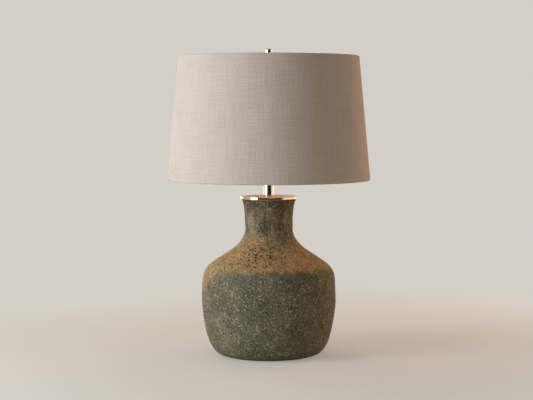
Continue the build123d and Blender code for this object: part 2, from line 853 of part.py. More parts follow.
spider_arms = {}
for number, angle in enumerate(arm_angles, start=1):
    arm_low_z = fitter_top_z + arm_wire - arm_flat
    step_end = top_ring_radius - ring_wire - arm_step_inset
    with BuildPart() as spider_arm:
        with BuildLine(Plane.XZ) as arm_path:
            FilletPolyline(
                (arm_start, arm_low_z),
                (step_end - arm_step, arm_low_z),
                (step_end, top_ring_z),
                (top_ring_radius - ring_wire / 2, top_ring_z),
                radius=arm_bend,
            )
        with BuildSketch(Plane(origin=(arm_start, 0, arm_low_z), z_dir=(1, 0, 0))):
            Circle(arm_wire)
        sweep(path=arm_path.wires()[0])
        add(fitter_washer.part, mode=Mode.SUBTRACT)
        add(shade_top_ring.part, mode=Mode.SUBTRACT)
    arm = spider_arm.part.rotate(Axis.Z, angle)
    arm.label = "spider_arm_" + str(number)
    spider_arms[arm.label] = arm

# Finial: base, waist and a beaded body with a domed top, over a blind threaded hole

with BuildPart() as finial:
    waist_z = fitter_top_z + finial_base_height
    body_z = waist_z + finial_waist_height
    dome_z = fitter_top_z + finial_height - finial_dome
    with BuildSketch(Plane.XZ):
        with BuildLine():
            Polyline(
                (0, fitter_top_z),
                (finial_radius, fitter_top_z),
                (finial_radius, waist_z),
                (finial_waist_radius, waist_z),
                (finial_waist_radius, body_z),
                (finial_radius, body_z),
                (finial_radius, body_z + finial_bead_height),
                (finial_radius - finial_bead, body_z + finial_bead_height),
                (finial_radius - finial_bead, dome_z),
            )
            dome_radius = finial_radius - finial_bead
            TangentArc((0, dome_z + finial_dome), (dome_radius, dome_z), tangent=(1, 0))
            Line((0, dome_z + finial_dome), (0, fitter_top_z))
        make_face()
    revolve(axis=Axis.Z)
    with Locations((0, 0, fitter_top_z)):
        upright(
            stud_radius + running_play,
            seat_z + stud_length - fitter_top_z + finial_tip_clearance,
            mode=Mode.SUBTRACT,
        )
finial.part.label = "finial"

# One file for each piece

pieces = [
    felt_pad, bottle, cord_gland, check_plate, bottom_lock_washer, bottom_nut, lamp_pipe,
    neck_plug, cap_disc, neck_tube, tube_cap, harp_saddle, saddle_nut, socket_cap,
    socket_set_screw, socket_shell, socket_liner, switch_body, terminal_screws, screw_shell,
    centre_contact, switch_shaft, switch_knob, bulb_glass, bulb_cap, bulb_insulator,
    bulb_button, harp_loop, harp_stud, shade_top_ring, shade_bottom_ring, shade_liner,
    shade_cover, fitter_washer, finial,
]
os.makedirs("parts", exist_ok=True)
for part in [piece.part for piece in pieces] + list(ferrules.values()) + list(spider_arms.values()):
    export_step(part, "parts/" + part.label + ".step")
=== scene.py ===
import logging
from dataclasses import dataclass, field
from enum import Enum
from math import asin, atan, cos, hypot, pi, radians, sin
from typing import Any, Callable, Sequence

import bmesh
import bpy
import numpy as np
from mathutils import Matrix, Vector


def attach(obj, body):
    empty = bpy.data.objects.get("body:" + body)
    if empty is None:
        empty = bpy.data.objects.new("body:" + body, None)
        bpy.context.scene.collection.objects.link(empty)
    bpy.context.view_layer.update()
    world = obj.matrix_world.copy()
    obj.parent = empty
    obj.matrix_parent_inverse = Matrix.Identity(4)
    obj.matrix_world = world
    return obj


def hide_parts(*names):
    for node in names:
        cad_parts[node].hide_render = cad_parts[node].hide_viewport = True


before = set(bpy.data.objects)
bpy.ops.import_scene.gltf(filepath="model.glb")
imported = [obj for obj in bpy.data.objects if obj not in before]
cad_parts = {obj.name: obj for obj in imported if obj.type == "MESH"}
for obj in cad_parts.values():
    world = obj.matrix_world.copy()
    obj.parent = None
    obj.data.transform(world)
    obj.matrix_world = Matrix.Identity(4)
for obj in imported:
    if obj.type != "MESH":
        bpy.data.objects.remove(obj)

LOG = logging.getLogger("bottle_lamp")
Array = np.ndarray
Tree = bpy.types.NodeTree
Output = bpy.types.NodeSocket
MM = 0.001
IMAGE_WIDTH = 533


class Body(Enum):
    """The moving bodies that new pieces ride on."""

    BASE = "base"
    BULB = "bulb"
    SHADE = "shade"
    FINIAL = "finial"


# Colour, nodes and meshes


def linear(hex_colour: str) -> tuple[float, float, float, float]:
    """Turn an sRGB hex colour into linear RGBA.

    Args:
        hex_colour: a colour such as "#c8bcae".

    Returns:
        Red, green, blue and an alpha of 1.
    """
    parts = [int(hex_colour[i:i + 2], 16) / 255 for i in (1, 3, 5)]
    red, green, blue = (p / 12.92 if p <= 0.04045 else ((p + 0.055) / 1.055) ** 2.4 for p in parts)
    return red, green, blue, 1.0


def feed(node: bpy.types.Node, inputs: dict[int | str, Any]) -> None:
    """Give a node's inputs, by name or number, their links or values."""
    for key, value in inputs.items():
        if isinstance(value, Output):
            node.id_data.links.new(value, node.inputs[key])
        else:
            node.inputs[key].default_value = value


def add_node(
    tree: Tree,
    kind: str,
    inputs: dict[int | str, Any] | None = None,
    output: int | str = 0,
    ramp: Sequence[tuple[float, str]] = (),
    **settings: Any,
) -> Output:
    """Add a node with its settings and links.

    Args:
        tree: the node tree.
        kind: the node's type name, without ShaderNode in front.
        inputs: values or sockets, by the input's name or number.
        output: the output that is handed back, by name or number.
        ramp: the places and hex colours of a colour ramp.
        settings: properties of the node.

    Returns:
        The chosen output socket.
    """
    node = tree.nodes.new(f"ShaderNode{kind}")
    for name, value in settings.items():
        setattr(node, name, value)
    feed(node, inputs or {})
    for number, (place, colour) in enumerate(ramp):
        stops = node.color_ramp.elements
        stop = stops[number] if number < len(stops) else stops.new(place)
        stop.position = place
        stop.color = linear(colour)
    return node.outputs[output] if node.outputs else node.inputs[0]


def object_millimetres(tree: Tree) -> Output:
    """Give the point on the piece in millimetres, in the lamp's own frame."""
    point = add_node(tree, "TexCoord", output="Object")
    return add_node(tree, "VectorMath", {0: point, "Scale": 1 / MM}, operation="SCALE")


def from_axis(tree: Tree) -> Output:
    """Give the distance from the lamp's axis in millimetres."""
    place = object_millimetres(tree)
    flat = add_node(tree, "VectorMath", {0: place, 1: (1.0, 1.0, 0.0)}, operation="MULTIPLY")
    return add_node(tree, "VectorMath", {0: flat}, "Value", operation="LENGTH")


def resample(path: Array, count: int) -> Array:
    """Space points evenly along a polyline, by linear interpolation over its running length."""
    run = np.concatenate([[0.0], np.cumsum(np.hypot(*np.diff(path, axis=0).T))])
    even = np.linspace(0, run[-1], count)
    return np.stack([np.interp(even, run, path[:, axis]) for axis in (0, 1)], axis=1)


def bezier(start: Array, pull: Array, push: Array, end: Array, steps: int = 40) -> Array:
    """Sample a cubic curve: the four points weighted by the Bernstein polynomials of degree 3."""
    t = np.linspace(0, 1, steps)[:, None]
    return (1 - t) ** 3 * start + 3 * (1 - t) ** 2 * t * pull + 3 * (1 - t) * t**2 * push + t**3 * end


def eased(corners: Sequence[tuple[float, float, float]], steps: int = 6) -> Array:
    """Round off the corners of a section.

    Each corner is left out over its easing on both legs and bridged by a quadratic curve that
    is tangent to both: (1-t)^2 A + 2t(1-t) P + t^2 B. A guard point just outside each end of
    the curve keeps the flats beside it shaded flat.

    Args:
        corners: radius, level and easing of each corner, in order, in millimetres.
        steps: points along each rounded corner.

    Returns:
        The rounded section as rows of radius and level.
    """
    table = np.array(corners, float)
    points, ease = table[:, :2], table[:, 2:]
    before, after = np.roll(points, 1, axis=0) - points, np.roll(points, -1, axis=0) - points
    before /= np.maximum(np.linalg.norm(before, axis=1, keepdims=True), 1e-9)
    after /= np.maximum(np.linalg.norm(after, axis=1, keepdims=True), 1e-9)
    t = np.linspace(0, 1, steps)[None, :, None]
    near, far = (points + before * ease)[:, None], (points + after * ease)[:, None]
    curve = (1 - t) ** 2 * near + 2 * t * (1 - t) * points[:, None] + t**2 * far
    guard = np.where(ease > 0, 0.12, 0.0)
    first, last = near + (before * guard)[:, None], far + (after * guard)[:, None]
    curve = np.concatenate([first, curve, last], axis=1)
    flat = curve.reshape(-1, 2)
    moved = np.r_[True, np.hypot(*np.diff(flat, axis=0).T) > 1e-6]
    return flat[moved]


def surface(name: str, points: Array, uv: Array | None = None, loop: bool = False) -> bpy.types.Object:
    """Make a smooth mesh from a grid of points that closes round its columns.

    Neighbouring points on the grid become quads. The signed volume, the sum of a . (b x c) over
    the triangles, tells whether the quads face outwards, and their order is reversed if not.

    Args:
        name: the piece's name.
        points: rows x columns x 3, in metres.
        uv: rows (+1 where the rows close) x columns + 1 x 2, for a pattern that follows the surface.
        loop: whether the last row joins the first.

    Returns:
        The object, with its place in its mesh.
    """
    rows, columns = points.shape[:2]
    row, column = np.meshgrid(np.arange(rows if loop else rows - 1), np.arange(columns), indexing="ij")
    below, beside = (row + 1) % rows, (column + 1) % columns
    here, under = row * columns, below * columns
    quads = np.stack([here + column, here + beside, under + beside, under + column], -1).reshape(-1, 4)
    flat = points.reshape(-1, 3)
    a, b, c, d = (flat[quads[:, i]] for i in range(4))
    volume = np.sum(a * np.cross(b, c)) + np.sum(a * np.cross(c, d))
    order = slice(None) if volume > 0 else slice(None, None, -1)
    mesh = bpy.data.meshes.new(name)
    mesh.from_pydata(flat, [], quads[:, order])
    if uv is not None:
        corners = np.stack(
            [uv[row, column], uv[row, column + 1], uv[row + 1, column + 1], uv[row + 1, column]], 2
        ).reshape(-1, 4, 2)
        layer = mesh.uv_layers.new(name="cloth")
        layer.data.foreach_set("uv", corners[:, order].ravel().astype(np.float32))
    welded = bmesh.new()
    welded.from_mesh(mesh)
    bmesh.ops.remove_doubles(welded, verts=welded.verts, dist=1e-7)
    welded.to_mesh(mesh)
    welded.free()
    mesh.shade_smooth()
    piece = bpy.data.objects.new(name, mesh)
    bpy.context.scene.collection.objects.link(piece)
    return piece


def turned(
    name: str,
    section: Array,
    columns: int,
    loop: bool = True,
    swell: Callable[[Array, Array, Array], Array] | None = None,
) -> bpy.types.Object:
    """Revolve a section about the lamp's axis: (r sin a, -r cos a, z) for every angle a.

    Args:
        name: the piece's name.
        section: rows of radius and level, in millimetres.
        columns: steps round the axis.
        loop: whether the section is a closed loop; otherwise it ends on the axis at both ends.
        swell: gives what is added to the radius, from angle, radius and level.

    Returns:
        The turned piece.
    """
    angle = np.linspace(0, 2 * pi, columns, endpoint=False)[None, :]
    radius, level = section[:, :1], section[:, 1:]
    if swell is not None:
        radius = radius + swell(angle, radius, level)
    points = np.stack(np.broadcast_arrays(radius * np.sin(angle), -radius * np.cos(angle), level), -1)
    return surface(name, points * MM, loop=loop)


def smoothstep(value: Array, low: float, high: float) -> Array:
    """Ease from 0 at low to 1 at high: 3t^2 - 2t^3 with t clipped to 0..1."""
    t = np.clip((value - low) / (high - low), 0, 1)
    return t * t * (3 - 2 * t)


def smooth_noise(along: Array, up: Array, size: float, rounds: float, seed: int) -> Array:
    """Give smooth random values from -1 to 1 that close round the piece.

    Seeded values stand on a lattice of one feature size, and the four round a point are weighted
    by smoothstep of its place between them.

    Args:
        along: distance round the piece, in millimetres.
        up: distance up the piece, in millimetres.
        size: the feature size, in millimetres.
        rounds: the length of one round, in millimetres.
        seed: the random seed.

    Returns:
        One value for each point.
    """
    count = max(3, round(rounds / size))
    lattice = np.random.default_rng(seed).uniform(-1, 1, (count, 512))
    u, v = along / rounds * count, up / size + 8
    column, row = np.floor(u).astype(int), np.floor(v).astype(int)
    s, t = smoothstep(u - column, 0, 1), smoothstep(v - row, 0, 1)
    corner = [[lattice[(column + i) % count, (row + j) % 512] for j in (0, 1)] for i in (0, 1)]
    low = corner[0][0] * (1 - s) + corner[1][0] * s
    high = corner[0][1] * (1 - s) + corner[1][1] * s
    return low * (1 - t) + high * t


# Finishes


@dataclass(frozen=True)
class Finish:
    """A finish that any number of pieces share."""

    name: str

    def paint(self, tree: Tree, shader: bpy.types.Node) -> None:
        """Set the shader and add the nodes of this finish."""
        raise NotImplementedError

    def material(self) -> bpy.types.Material:
        """Give the finish's material, made on its first use. No slot of the frame has its name."""
        made = bpy.data.materials.get(self.name)
        if made is None:
            made = bpy.data.materials.new(self.name)
            made.use_nodes = True
            self.paint(made.node_tree, made.node_tree.nodes["Principled BSDF"])
        return made

    def dress(self, *pieces: bpy.types.Object) -> None:
        """Put the finish on every material slot of the pieces."""
        for piece in pieces:
            if not piece.material_slots:
                piece.data.materials.append(None)
            for place in piece.material_slots:
                place.material = self.material()


@dataclass(frozen=True)
class VolcanicGlaze(Finish):
    """Stoneware under a dry volcanic glaze, sprayed on thick and fired until gas craters it.

    The eye gets a matte grey-green crust with pale lichen specks, brown-black craters and pale
    streaks on the belly's sides. A sandy ochre band on the shoulder ends in a ragged line; it is
    partly the glaze's colour and partly painted warm light from the bulb. The lip is darkened by
    painted shadow of the cap disc, and a painted warm highlight runs down the left side.
    Sizes and places are in millimetres. A span is where a coat starts and where it is full.
    """

    moss: str = "#403e2e"
    olive: str = "#5a5844"
    stone: str = "#6c6a57"
    speck: str = "#b4ad87"
    ash: str = "#9c9983"
    # Ochre colours of the shoulder, partly painted warm light from the bulb
    lit_sand: str = "#a28451"
    dark_lit_sand: str = "#5e492b"
    pale_lit_sand: str = "#c4aa75"
    crater: str = "#241b11"
    # Painted shadow of the cap disc on the lip
    cap_shadow: str = "#4d3f28"
    streak: str = "#a3926a"
    smear: str = "#8b8769"
    shade: str = "#2b2c1e"
    grain_size: float = 4.0
    zone_size: float = 55.0
    crowd_size: float = 22.0
    rag_size: float = 22.0
    patch_size: float = 24.0
    crust_size: float = 8.0
    fine_size: float = 1.4
    mottle: float = 0.45
    crumble: float = 4.2
    speck_spacing: float = 4.8
    small_speck_spacing: float = 3.0
    speck_cover: float = 0.72
    side_span: tuple[float, float] = (60.0, 138.0)
    neck_span: tuple[float, float] = (250.0, 280.0)
    cap_shadow_span: tuple[float, float] = (314.0, 342.0)
    # The ochre band's lower edge, where the painted bulb light ends, its fade toward the neck, and its
    # raggedness
    lit_sand_foot: tuple[float, float] = (211.0, 228.0)
    lit_sand_top: tuple[float, float] = (308.0, 262.0)
    lit_sand_rag: float = 40.0
    # Painted warm highlight down the left side, drawn as streaks of ochre
    left_highlight_span: tuple[float, float] = (-112.0, -150.0)
    left_highlight_length: float = 110.0
    tongue: tuple[float, float, float] = (14.0, -68.0, 268.0)
    tongue_span: tuple[float, float] = (16.0, 42.0)
    crater_spacing: float = 6.4
    crater_heart: tuple[float, float, float] = (-17.0, -108.0, 234.0)
    crater_squeeze: tuple[float, float, float] = (1.0, 1.0, 1.7)
    crater_span: tuple[float, float] = (22.0, 80.0)
    pit_spacing: float = 4.6
    relief: float = 2.2

    def spots(self, tree: Tree, place: Output, spacing: float, reach: Output | float) -> Output:
        """Scatter round spots, one to a Voronoi cell and each with its own size.

        Args:
            tree: the node tree.
            place: the point in millimetres.
            spacing: the cells' width in millimetres.
            reach: the radius of the largest spot, in cells; the smallest are a quarter of it.

        Returns:
            1 inside a spot and 0 outside it, with a soft edge.
        """
        cells = add_node(tree, "TexVoronoi", {"Vector": place, "Scale": 1 / spacing, "Randomness": 1.0})
        lot = add_node(tree, "SeparateColor", {0: cells.node.outputs["Color"]})
        share = add_node(tree, "MapRange", {0: lot, 3: 0.25})
        size = add_node(tree, "Math", {0: share, 1: reach}, operation="MULTIPLY")
        core = add_node(tree, "Math", {0: size, 1: 0.5}, operation="MULTIPLY")
        return add_node(tree, "MapRange", {0: cells, 1: size, 2: core}, interpolation_type="SMOOTHSTEP")

    def specks(self, tree: Tree, place: Output, rough_place: Output) -> tuple[Output, Output]:
        """Scatter pale specks of two sizes, larger where a wider noise gathers them.

        Args:
            tree: the node tree.
            place: the point in millimetres.
            rough_place: the point shaken by the grain, which crumbles the outlines.

        Returns:
            The specks' cover and their colour.
        """
        crowd = add_node(tree, "TexNoise", {"Vector": place, "Scale": 1 / self.crowd_size, "Detail": 2.0})
        gathered = add_node(tree, "MapRange", {0: crowd, 1: 0.36, 2: 0.64, 3: 0.36, 4: 0.66})
        large = self.spots(tree, rough_place, self.speck_spacing, gathered)
        small = self.spots(tree, rough_place, self.small_speck_spacing, 0.6)
        faint = add_node(tree, "Math", {0: small, 1: 0.6}, operation="MULTIPLY")
        either = add_node(tree, "Math", {0: faint, 1: large}, operation="MAXIMUM")
        cover = add_node(tree, "Math", {0: either, 1: self.speck_cover}, operation="MULTIPLY")
        colour = add_node(tree, "ValToRGB", {0: crowd}, ramp=((0.4, self.ash), (0.58, self.speck)))
        return cover, colour

    def streaks(self, tree: Tree, runs: Output, across: Output, zones: Output) -> Output:
        """Leave the upright noise on the belly's two sides, broken up by the wide noise.

        Args:
            tree: the node tree.
            runs: noise drawn out upright.
            across: the point's place from left to right, in millimetres.
            zones: the wide noise.

        Returns:
            The streaks' cover.
        """
        pale = add_node(tree, "MapRange", {0: runs, 1: 0.48, 2: 0.66, 4: 0.42})
        aside = add_node(tree, "Math", {0: across}, operation="ABSOLUTE")
        start, full = self.side_span
        sides = add_node(
            tree, "MapRange", {0: aside, 1: start, 2: full, 3: 0.15}, interpolation_type="SMOOTHSTEP"
        )
        sided = add_node(tree, "Math", {0: pale, 1: sides}, operation="MULTIPLY")
        broken = add_node(tree, "MapRange", {0: zones, 1: 0.4, 2: 0.6, 3: 0.3})
        return add_node(tree, "Math", {0: sided, 1: broken}, operation="MULTIPLY")

    def wipes(self, tree: Tree, place: Output, level: Output) -> list[Output]:
        """Smear the neck upright: pale where drawn-out noise is high and dark where it is low.

        Args:
            tree: the node tree.
            place: the point in millimetres.
            level: its level in millimetres.

        Returns:
            The cover of the pale smears and that of the dark ones.
        """
        drawn = add_node(tree, "Mapping", {"Vector": place, "Scale": (0.07, 0.07, 0.025)})
        wiped = add_node(
            tree, "TexNoise", {"Vector": drawn, "Scale": 1.0, "Detail": 4.0, "Roughness": 0.65}
        )
        start, full = self.neck_span
        neck = add_node(tree, "MapRange", {0: level, 1: start, 2: full, 4: 0.8})
        covers = []
        for clear, covered in ((0.5, 0.62), (0.48, 0.36)):
            smear = add_node(tree, "MapRange", {0: wiped, 1: clear, 2: covered})
            covers.append(add_node(tree, "Math", {0: smear, 1: neck}, operation="MULTIPLY"))
        return covers

    def lit_sand_cloak(
        self, tree: Tree, place: Output, rough_place: Output, axes: Sequence[Output], runs: Output
    ) -> Output:
        """Lay sandy ochre from a ragged edge low on the shoulder up to the neck's foot: partly the
        glaze's colour and partly painted warm light from the bulb above.

        On the left it reaches down in streaks, a painted warm highlight on that side, and right of
        the front the neck's grey comes down over it in one tongue.

        Args:
            tree: the node tree.
            place: the point in millimetres.
            rough_place: the point shaken by the grain.
            axes: the point's three coordinates.
            runs: noise drawn out upright.

        Returns:
            The cover of the ochre band, partly painted warm bulb light.
        """
        ragged = add_node(
            tree, "TexNoise",
            {"Vector": place, "Scale": 1 / self.rag_size, "Detail": 5.0, "Roughness": 0.75},
        )
        edge = add_node(tree, "Math", {0: ragged, 1: self.lit_sand_rag, 2: axes[2]}, operation="MULTIPLY_ADD")
        # Painted warm highlight: on the left the ochre's edge drops in streaks
        start, full = self.left_highlight_span
        left = add_node(tree, "MapRange", {0: axes[0], 1: start, 2: full, 4: self.left_highlight_length})
        run = add_node(tree, "MapRange", {0: runs, 1: 0.3, 2: 0.68})
        highlit_edge = add_node(tree, "Math", {0: run, 1: left, 2: edge}, operation="MULTIPLY_ADD")
        start, full = self.lit_sand_foot
        lower = add_node(
            tree, "MapRange", {0: highlit_edge, 1: start, 2: full}, interpolation_type="SMOOTHSTEP"
        )
        start, full = self.lit_sand_top
        upper = add_node(
            tree, "MapRange", {0: edge, 1: start, 2: full}, interpolation_type="SMOOTHSTEP"
        )
        band = add_node(tree, "Math", {0: lower, 1: upper}, operation="MULTIPLY")
        away = add_node(
            tree, "VectorMath", {0: rough_place, 1: self.tongue}, "Value", operation="DISTANCE"
        )
        start, full = self.tongue_span
        bare = add_node(
            tree, "MapRange", {0: away, 1: start, 2: full, 3: 0.2}, interpolation_type="SMOOTHSTEP"
        )
        left_over = add_node(tree, "Math", {0: band, 1: bare}, operation="MULTIPLY")
        patches = add_node(tree, "TexNoise", {"Vector": place, "Scale": 1 / self.patch_size, "Detail": 4.0})
        patchy = add_node(tree, "MapRange", {0: patches, 1: 0.36, 2: 0.6, 3: 0.45, 4: 1.0})
        return add_node(tree, "Math", {0: left_over, 1: patchy}, operation="MULTIPLY")

    def craters(self, tree: Tree, place: Output, rough_place: Output) -> Output:
        """Sink craters, largest on the front of the shoulder, and fine pits all over.

        Args:
            tree: the node tree.
            place: the point in millimetres.
            rough_place: the point shaken by the grain.

        Returns:
            The cover of both.
        """
        shift = tuple(-part * squeeze for part, squeeze in zip(self.crater_heart, self.crater_squeeze))
        from_heart = add_node(
            tree, "Mapping", {"Vector": place, "Location": shift, "Scale": self.crater_squeeze}
        )
        away = add_node(tree, "VectorMath", {0: from_heart}, "Value", operation="LENGTH")
        near, far = self.crater_span
        reach = add_node(tree, "MapRange", {0: away, 1: near, 2: far, 3: 0.76, 4: 0.26})
        large = self.spots(tree, rough_place, self.crater_spacing, reach)
        fine = self.spots(tree, rough_place, self.pit_spacing, 0.46)
        pits = add_node(tree, "Math", {0: fine, 1: 0.75}, operation="MULTIPLY")
        return add_node(tree, "Math", {0: large, 1: pits}, operation="MAXIMUM")

    def paint(self, tree: Tree, shader: bpy.types.Node) -> None:
        """Lay the coats over each other from the ground up, and raise or sink the same patterns."""
        place = object_millimetres(tree)
        axes = add_node(tree, "SeparateXYZ", {0: place}).node.outputs
        grain = add_node(
            tree, "TexNoise",
            {"Vector": place, "Scale": 1 / self.grain_size, "Detail": 3.0, "Roughness": 0.65},
        )
        zones = add_node(
            tree, "TexNoise",
            {
                "Vector": place, "Scale": 1 / self.zone_size, "Detail": 5.0, "Roughness": 0.62,
                "Distortion": 0.5,
            },
        )
        # Noise drawn out fifteen times upright
        drawn = add_node(tree, "Mapping", {"Vector": place, "Scale": (0.3, 0.3, 0.02)})
        runs = add_node(tree, "TexNoise", {"Vector": drawn, "Scale": 1.0, "Detail": 3.0, "Roughness": 0.6})
        shake = add_node(
            tree, "VectorMath", {0: grain.node.outputs["Color"], "Scale": self.crumble}, operation="SCALE"
        )
        rough_place = add_node(tree, "VectorMath", {0: place, 1: shake}, operation="ADD")
        specks, lichen = self.specks(tree, place, rough_place)
        pale_wipe, dark_wipe = self.wipes(tree, place, axes[2])
        craters = self.craters(tree, place, rough_place)
        # Painted shadow of the cap disc, darkening the lip below it
        start, full = self.cap_shadow_span
        lip = add_node(tree, "MapRange", {0: axes[2], 1: start, 2: full, 4: 0.85})
        # Ochre ramp of the shoulder, partly painted warm bulb light
        lit_sands = add_node(
            tree, "ValToRGB", {0: grain},
            ramp=((0.3, self.dark_lit_sand), (0.5, self.lit_sand), (0.68, self.pale_lit_sand)),
        )
        mottled = add_node(tree, "Math", {0: grain, 1: self.mottle, 2: zones}, operation="MULTIPLY_ADD")
        coat = add_node(
            tree, "ValToRGB", {0: mottled},
            ramp=((0.52, self.moss), (0.72, self.olive), (0.92, self.stone)),
        )
        for cover, colour in (
            (pale_wipe, linear(self.smear)),
            (dark_wipe, linear(self.shade)),
            (self.streaks(tree, runs, axes[0], zones), linear(self.streak)),
            # Painted shadow under the cap disc
            (lip, linear(self.cap_shadow)),
            (specks, lichen),
            # Ochre on the shoulder, partly painted warm bulb light, with a painted highlight on the left
            (self.lit_sand_cloak(tree, place, rough_place, axes, runs), lit_sands),
            (craters, linear(self.crater)),
        ):
            coat = add_node(tree, "Mix", {0: cover, 6: coat, 7: colour}, 2, data_type="RGBA")
        crust = add_node(tree, "TexNoise", {"Vector": place, "Scale": 1 / self.crust_size, "Detail": 2.0})
        fine = add_node(tree, "TexNoise", {"Vector": place, "Scale": 1 / self.fine_size, "Detail": 2.0})
        height = grain
        for layer, rise in ((crust, 0.9), (fine, 0.25), (specks, 0.25), (craters, -1.0)):
            height = add_node(tree, "Math", {0: layer, 1: rise, 2: height}, operation="MULTIPLY_ADD")
        bump = add_node(tree, "Bump", {"Strength": 1.0, "Distance": self.relief * MM, "Height": height})
        dry = add_node(tree, "MapRange", {0: zones, 1: 0.3, 2: 0.7, 3: 0.74, 4: 0.92})
        feed(shader, {"Base Color": coat, "Normal": bump, "Roughness": dry})


@dataclass(frozen=True)
class WovenLinen(Finish):
    """Slub linen in a plain weave, undyed, glued over a stiff liner.

    The eye gets a taupe cloth crossed by thick and thin threads both ways. The threads are
    0.6 mm apart, too fine to show, so the weave is drawn at twice that, and only the slubs,
    about 2 mm thick and 60 to 90 mm long, show from a step away.
    """

    shadow: str = "#bdb4a9"
    thread: str = "#c7bfb5"
    light: str = "#cec7be"
    pitch: float = 1.2
    slub: float = 1.9
    slub_length: float = 75.0
    wash_size: float = 45.0
    relief: float = 1.6
    weave_share: float = 0.1

    def paint(self, tree: Tree, shader: bpy.types.Node) -> None:
        """Cross two drawn-out noises for the slubs and two sines for the weave, on the cloth's UV."""
        cut = add_node(tree, "TexCoord", output="UV")
        cloth = add_node(tree, "VectorMath", {0: cut, "Scale": 1 / MM}, operation="SCALE")
        across, along = 1 / self.slub, 1 / self.slub_length
        warp_place = add_node(tree, "Mapping", {"Vector": cloth, "Scale": (across, along, 1.0)})
        # The weft's noise is read at another place, so that the two sets of slubs differ
        weft_place = add_node(
            tree, "Mapping", {"Vector": cloth, "Location": (7.0, 3.0, 5.0), "Scale": (along, across, 1.0)}
        )
        slubs = {"Scale": 1.0, "Detail": 3.0, "Roughness": 0.62}
        warp = add_node(tree, "TexNoise", {"Vector": warp_place, **slubs})
        weft = add_node(tree, "TexNoise", {"Vector": weft_place, **slubs})
        both = add_node(tree, "Math", {0: warp, 1: weft}, operation="ADD")
        washed = add_node(tree, "TexNoise", {"Vector": cloth, "Scale": 1 / self.wash_size, "Detail": 3.0})
        tone = add_node(tree, "Math", {0: washed, 1: 0.35, 2: both}, operation="MULTIPLY_ADD")
        share = add_node(tree, "MapRange", {0: tone, 1: 0.86, 2: 1.5})
        colour = add_node(
            tree, "ValToRGB", {0: share}, ramp=((0.12, self.shadow), (0.5, self.thread), (0.9, self.light))
        )
        turn = 2 * pi / self.pitch
        phase = add_node(tree, "VectorMath", {0: cloth, "Scale": turn}, operation="SCALE")
        waves = add_node(tree, "VectorMath", {0: phase}, operation="SINE")
        sides = add_node(tree, "SeparateXYZ", {0: waves}).node.outputs
        weave = add_node(tree, "Math", {0: sides[0], 1: sides[1]}, operation="MULTIPLY")
        height = add_node(tree, "Math", {0: weave, 1: self.weave_share, 2: both}, operation="MULTIPLY_ADD")
        bump = add_node(tree, "Bump", {"Strength": 1.0, "Distance": self.relief * MM, "Height": height})
        feed(shader, {
            "Base Color": colour, "Normal": bump, "Roughness": 0.92, "Sheen Weight": 0.15,
            "Sheen Roughness": 0.5,
        })


@dataclass(frozen=True)
class Metal(Finish):
    """A metal surface: its colour, how smooth it is, and marks of one size drawn out one way.

    The marks are noise scaled in millimetres along each axis, which wander the roughness and
    cut a shallow relief, so that a reflection is never quite clean.
    """

    colour: str
    stain: str
    roughness: float
    spread: float
    marks: tuple[float, float, float]
    depth: float
    stain_size: float = 14.0

    def pattern(self, tree: Tree) -> Output:
        """Give the height of the marks."""
        place = object_millimetres(tree)
        scale = tuple(1 / size for size in self.marks)
        drawn = add_node(tree, "Mapping", {"Vector": place, "Scale": scale})
        return add_node(tree, "TexNoise", {"Vector": drawn, "Scale": 1.0, "Detail": 3.0, "Roughness": 0.6})

    def paint(self, tree: Tree, shader: bpy.types.Node) -> None:
        """Set the metal, then let stains, roughness and relief follow the marks."""
        marks = self.pattern(tree)
        place = object_millimetres(tree)
        cloudy = add_node(tree, "TexNoise", {"Vector": place, "Scale": 1 / self.stain_size, "Detail": 3.0})
        colour = add_node(tree, "ValToRGB", {0: cloudy}, ramp=((0.3, self.stain), (0.55, self.colour)))
        smooth, rough = self.roughness - self.spread, self.roughness + self.spread
        worn = add_node(tree, "MapRange", {0: marks, 1: 0.3, 2: 0.7, 3: smooth, 4: rough})
        bump = add_node(tree, "Bump", {"Strength": 0.4, "Distance": self.depth * MM, "Height": marks})
        feed(shader, {"Metallic": 1.0, "Base Color": colour, "Roughness": worn, "Normal": bump})


@dataclass(frozen=True)
class TurnedMetal(Metal):
    """Metal faced on a lathe and buffed on its rim.

    The tool leaves fine rings round the lamp's axis that scatter light to a satin sheen, and
    past the rim's radius the surface is bright.
    """

    ring_pitch: float = 0.9
    rim_radius: float = 63.0
    rim_roughness: float = 0.07

    def pattern(self, tree: Tree) -> Output:
        """Give rings by noise over the distance from the axis, drawn at the tool's pitch."""
        rings = {"W": from_axis(tree), "Scale": 1 / self.ring_pitch, "Detail": 3.0}
        return add_node(tree, "TexNoise", rings, noise_dimensions="1D")

    def paint(self, tree: Tree, shader: bpy.types.Node) -> None:
        """Paint as any metal, then brighten the rim."""
        super().paint(tree, shader)
        rough = shader.inputs["Roughness"].links[0].from_socket
        start, full = self.rim_radius - 0.3, self.rim_radius + 0.1
        rim = add_node(tree, "MapRange", {0: from_axis(tree), 1: start, 2: full})
        feed(shader, {"Roughness": add_node(tree, "Mix", {0: rim, 2: rough, 3: self.rim_roughness})})


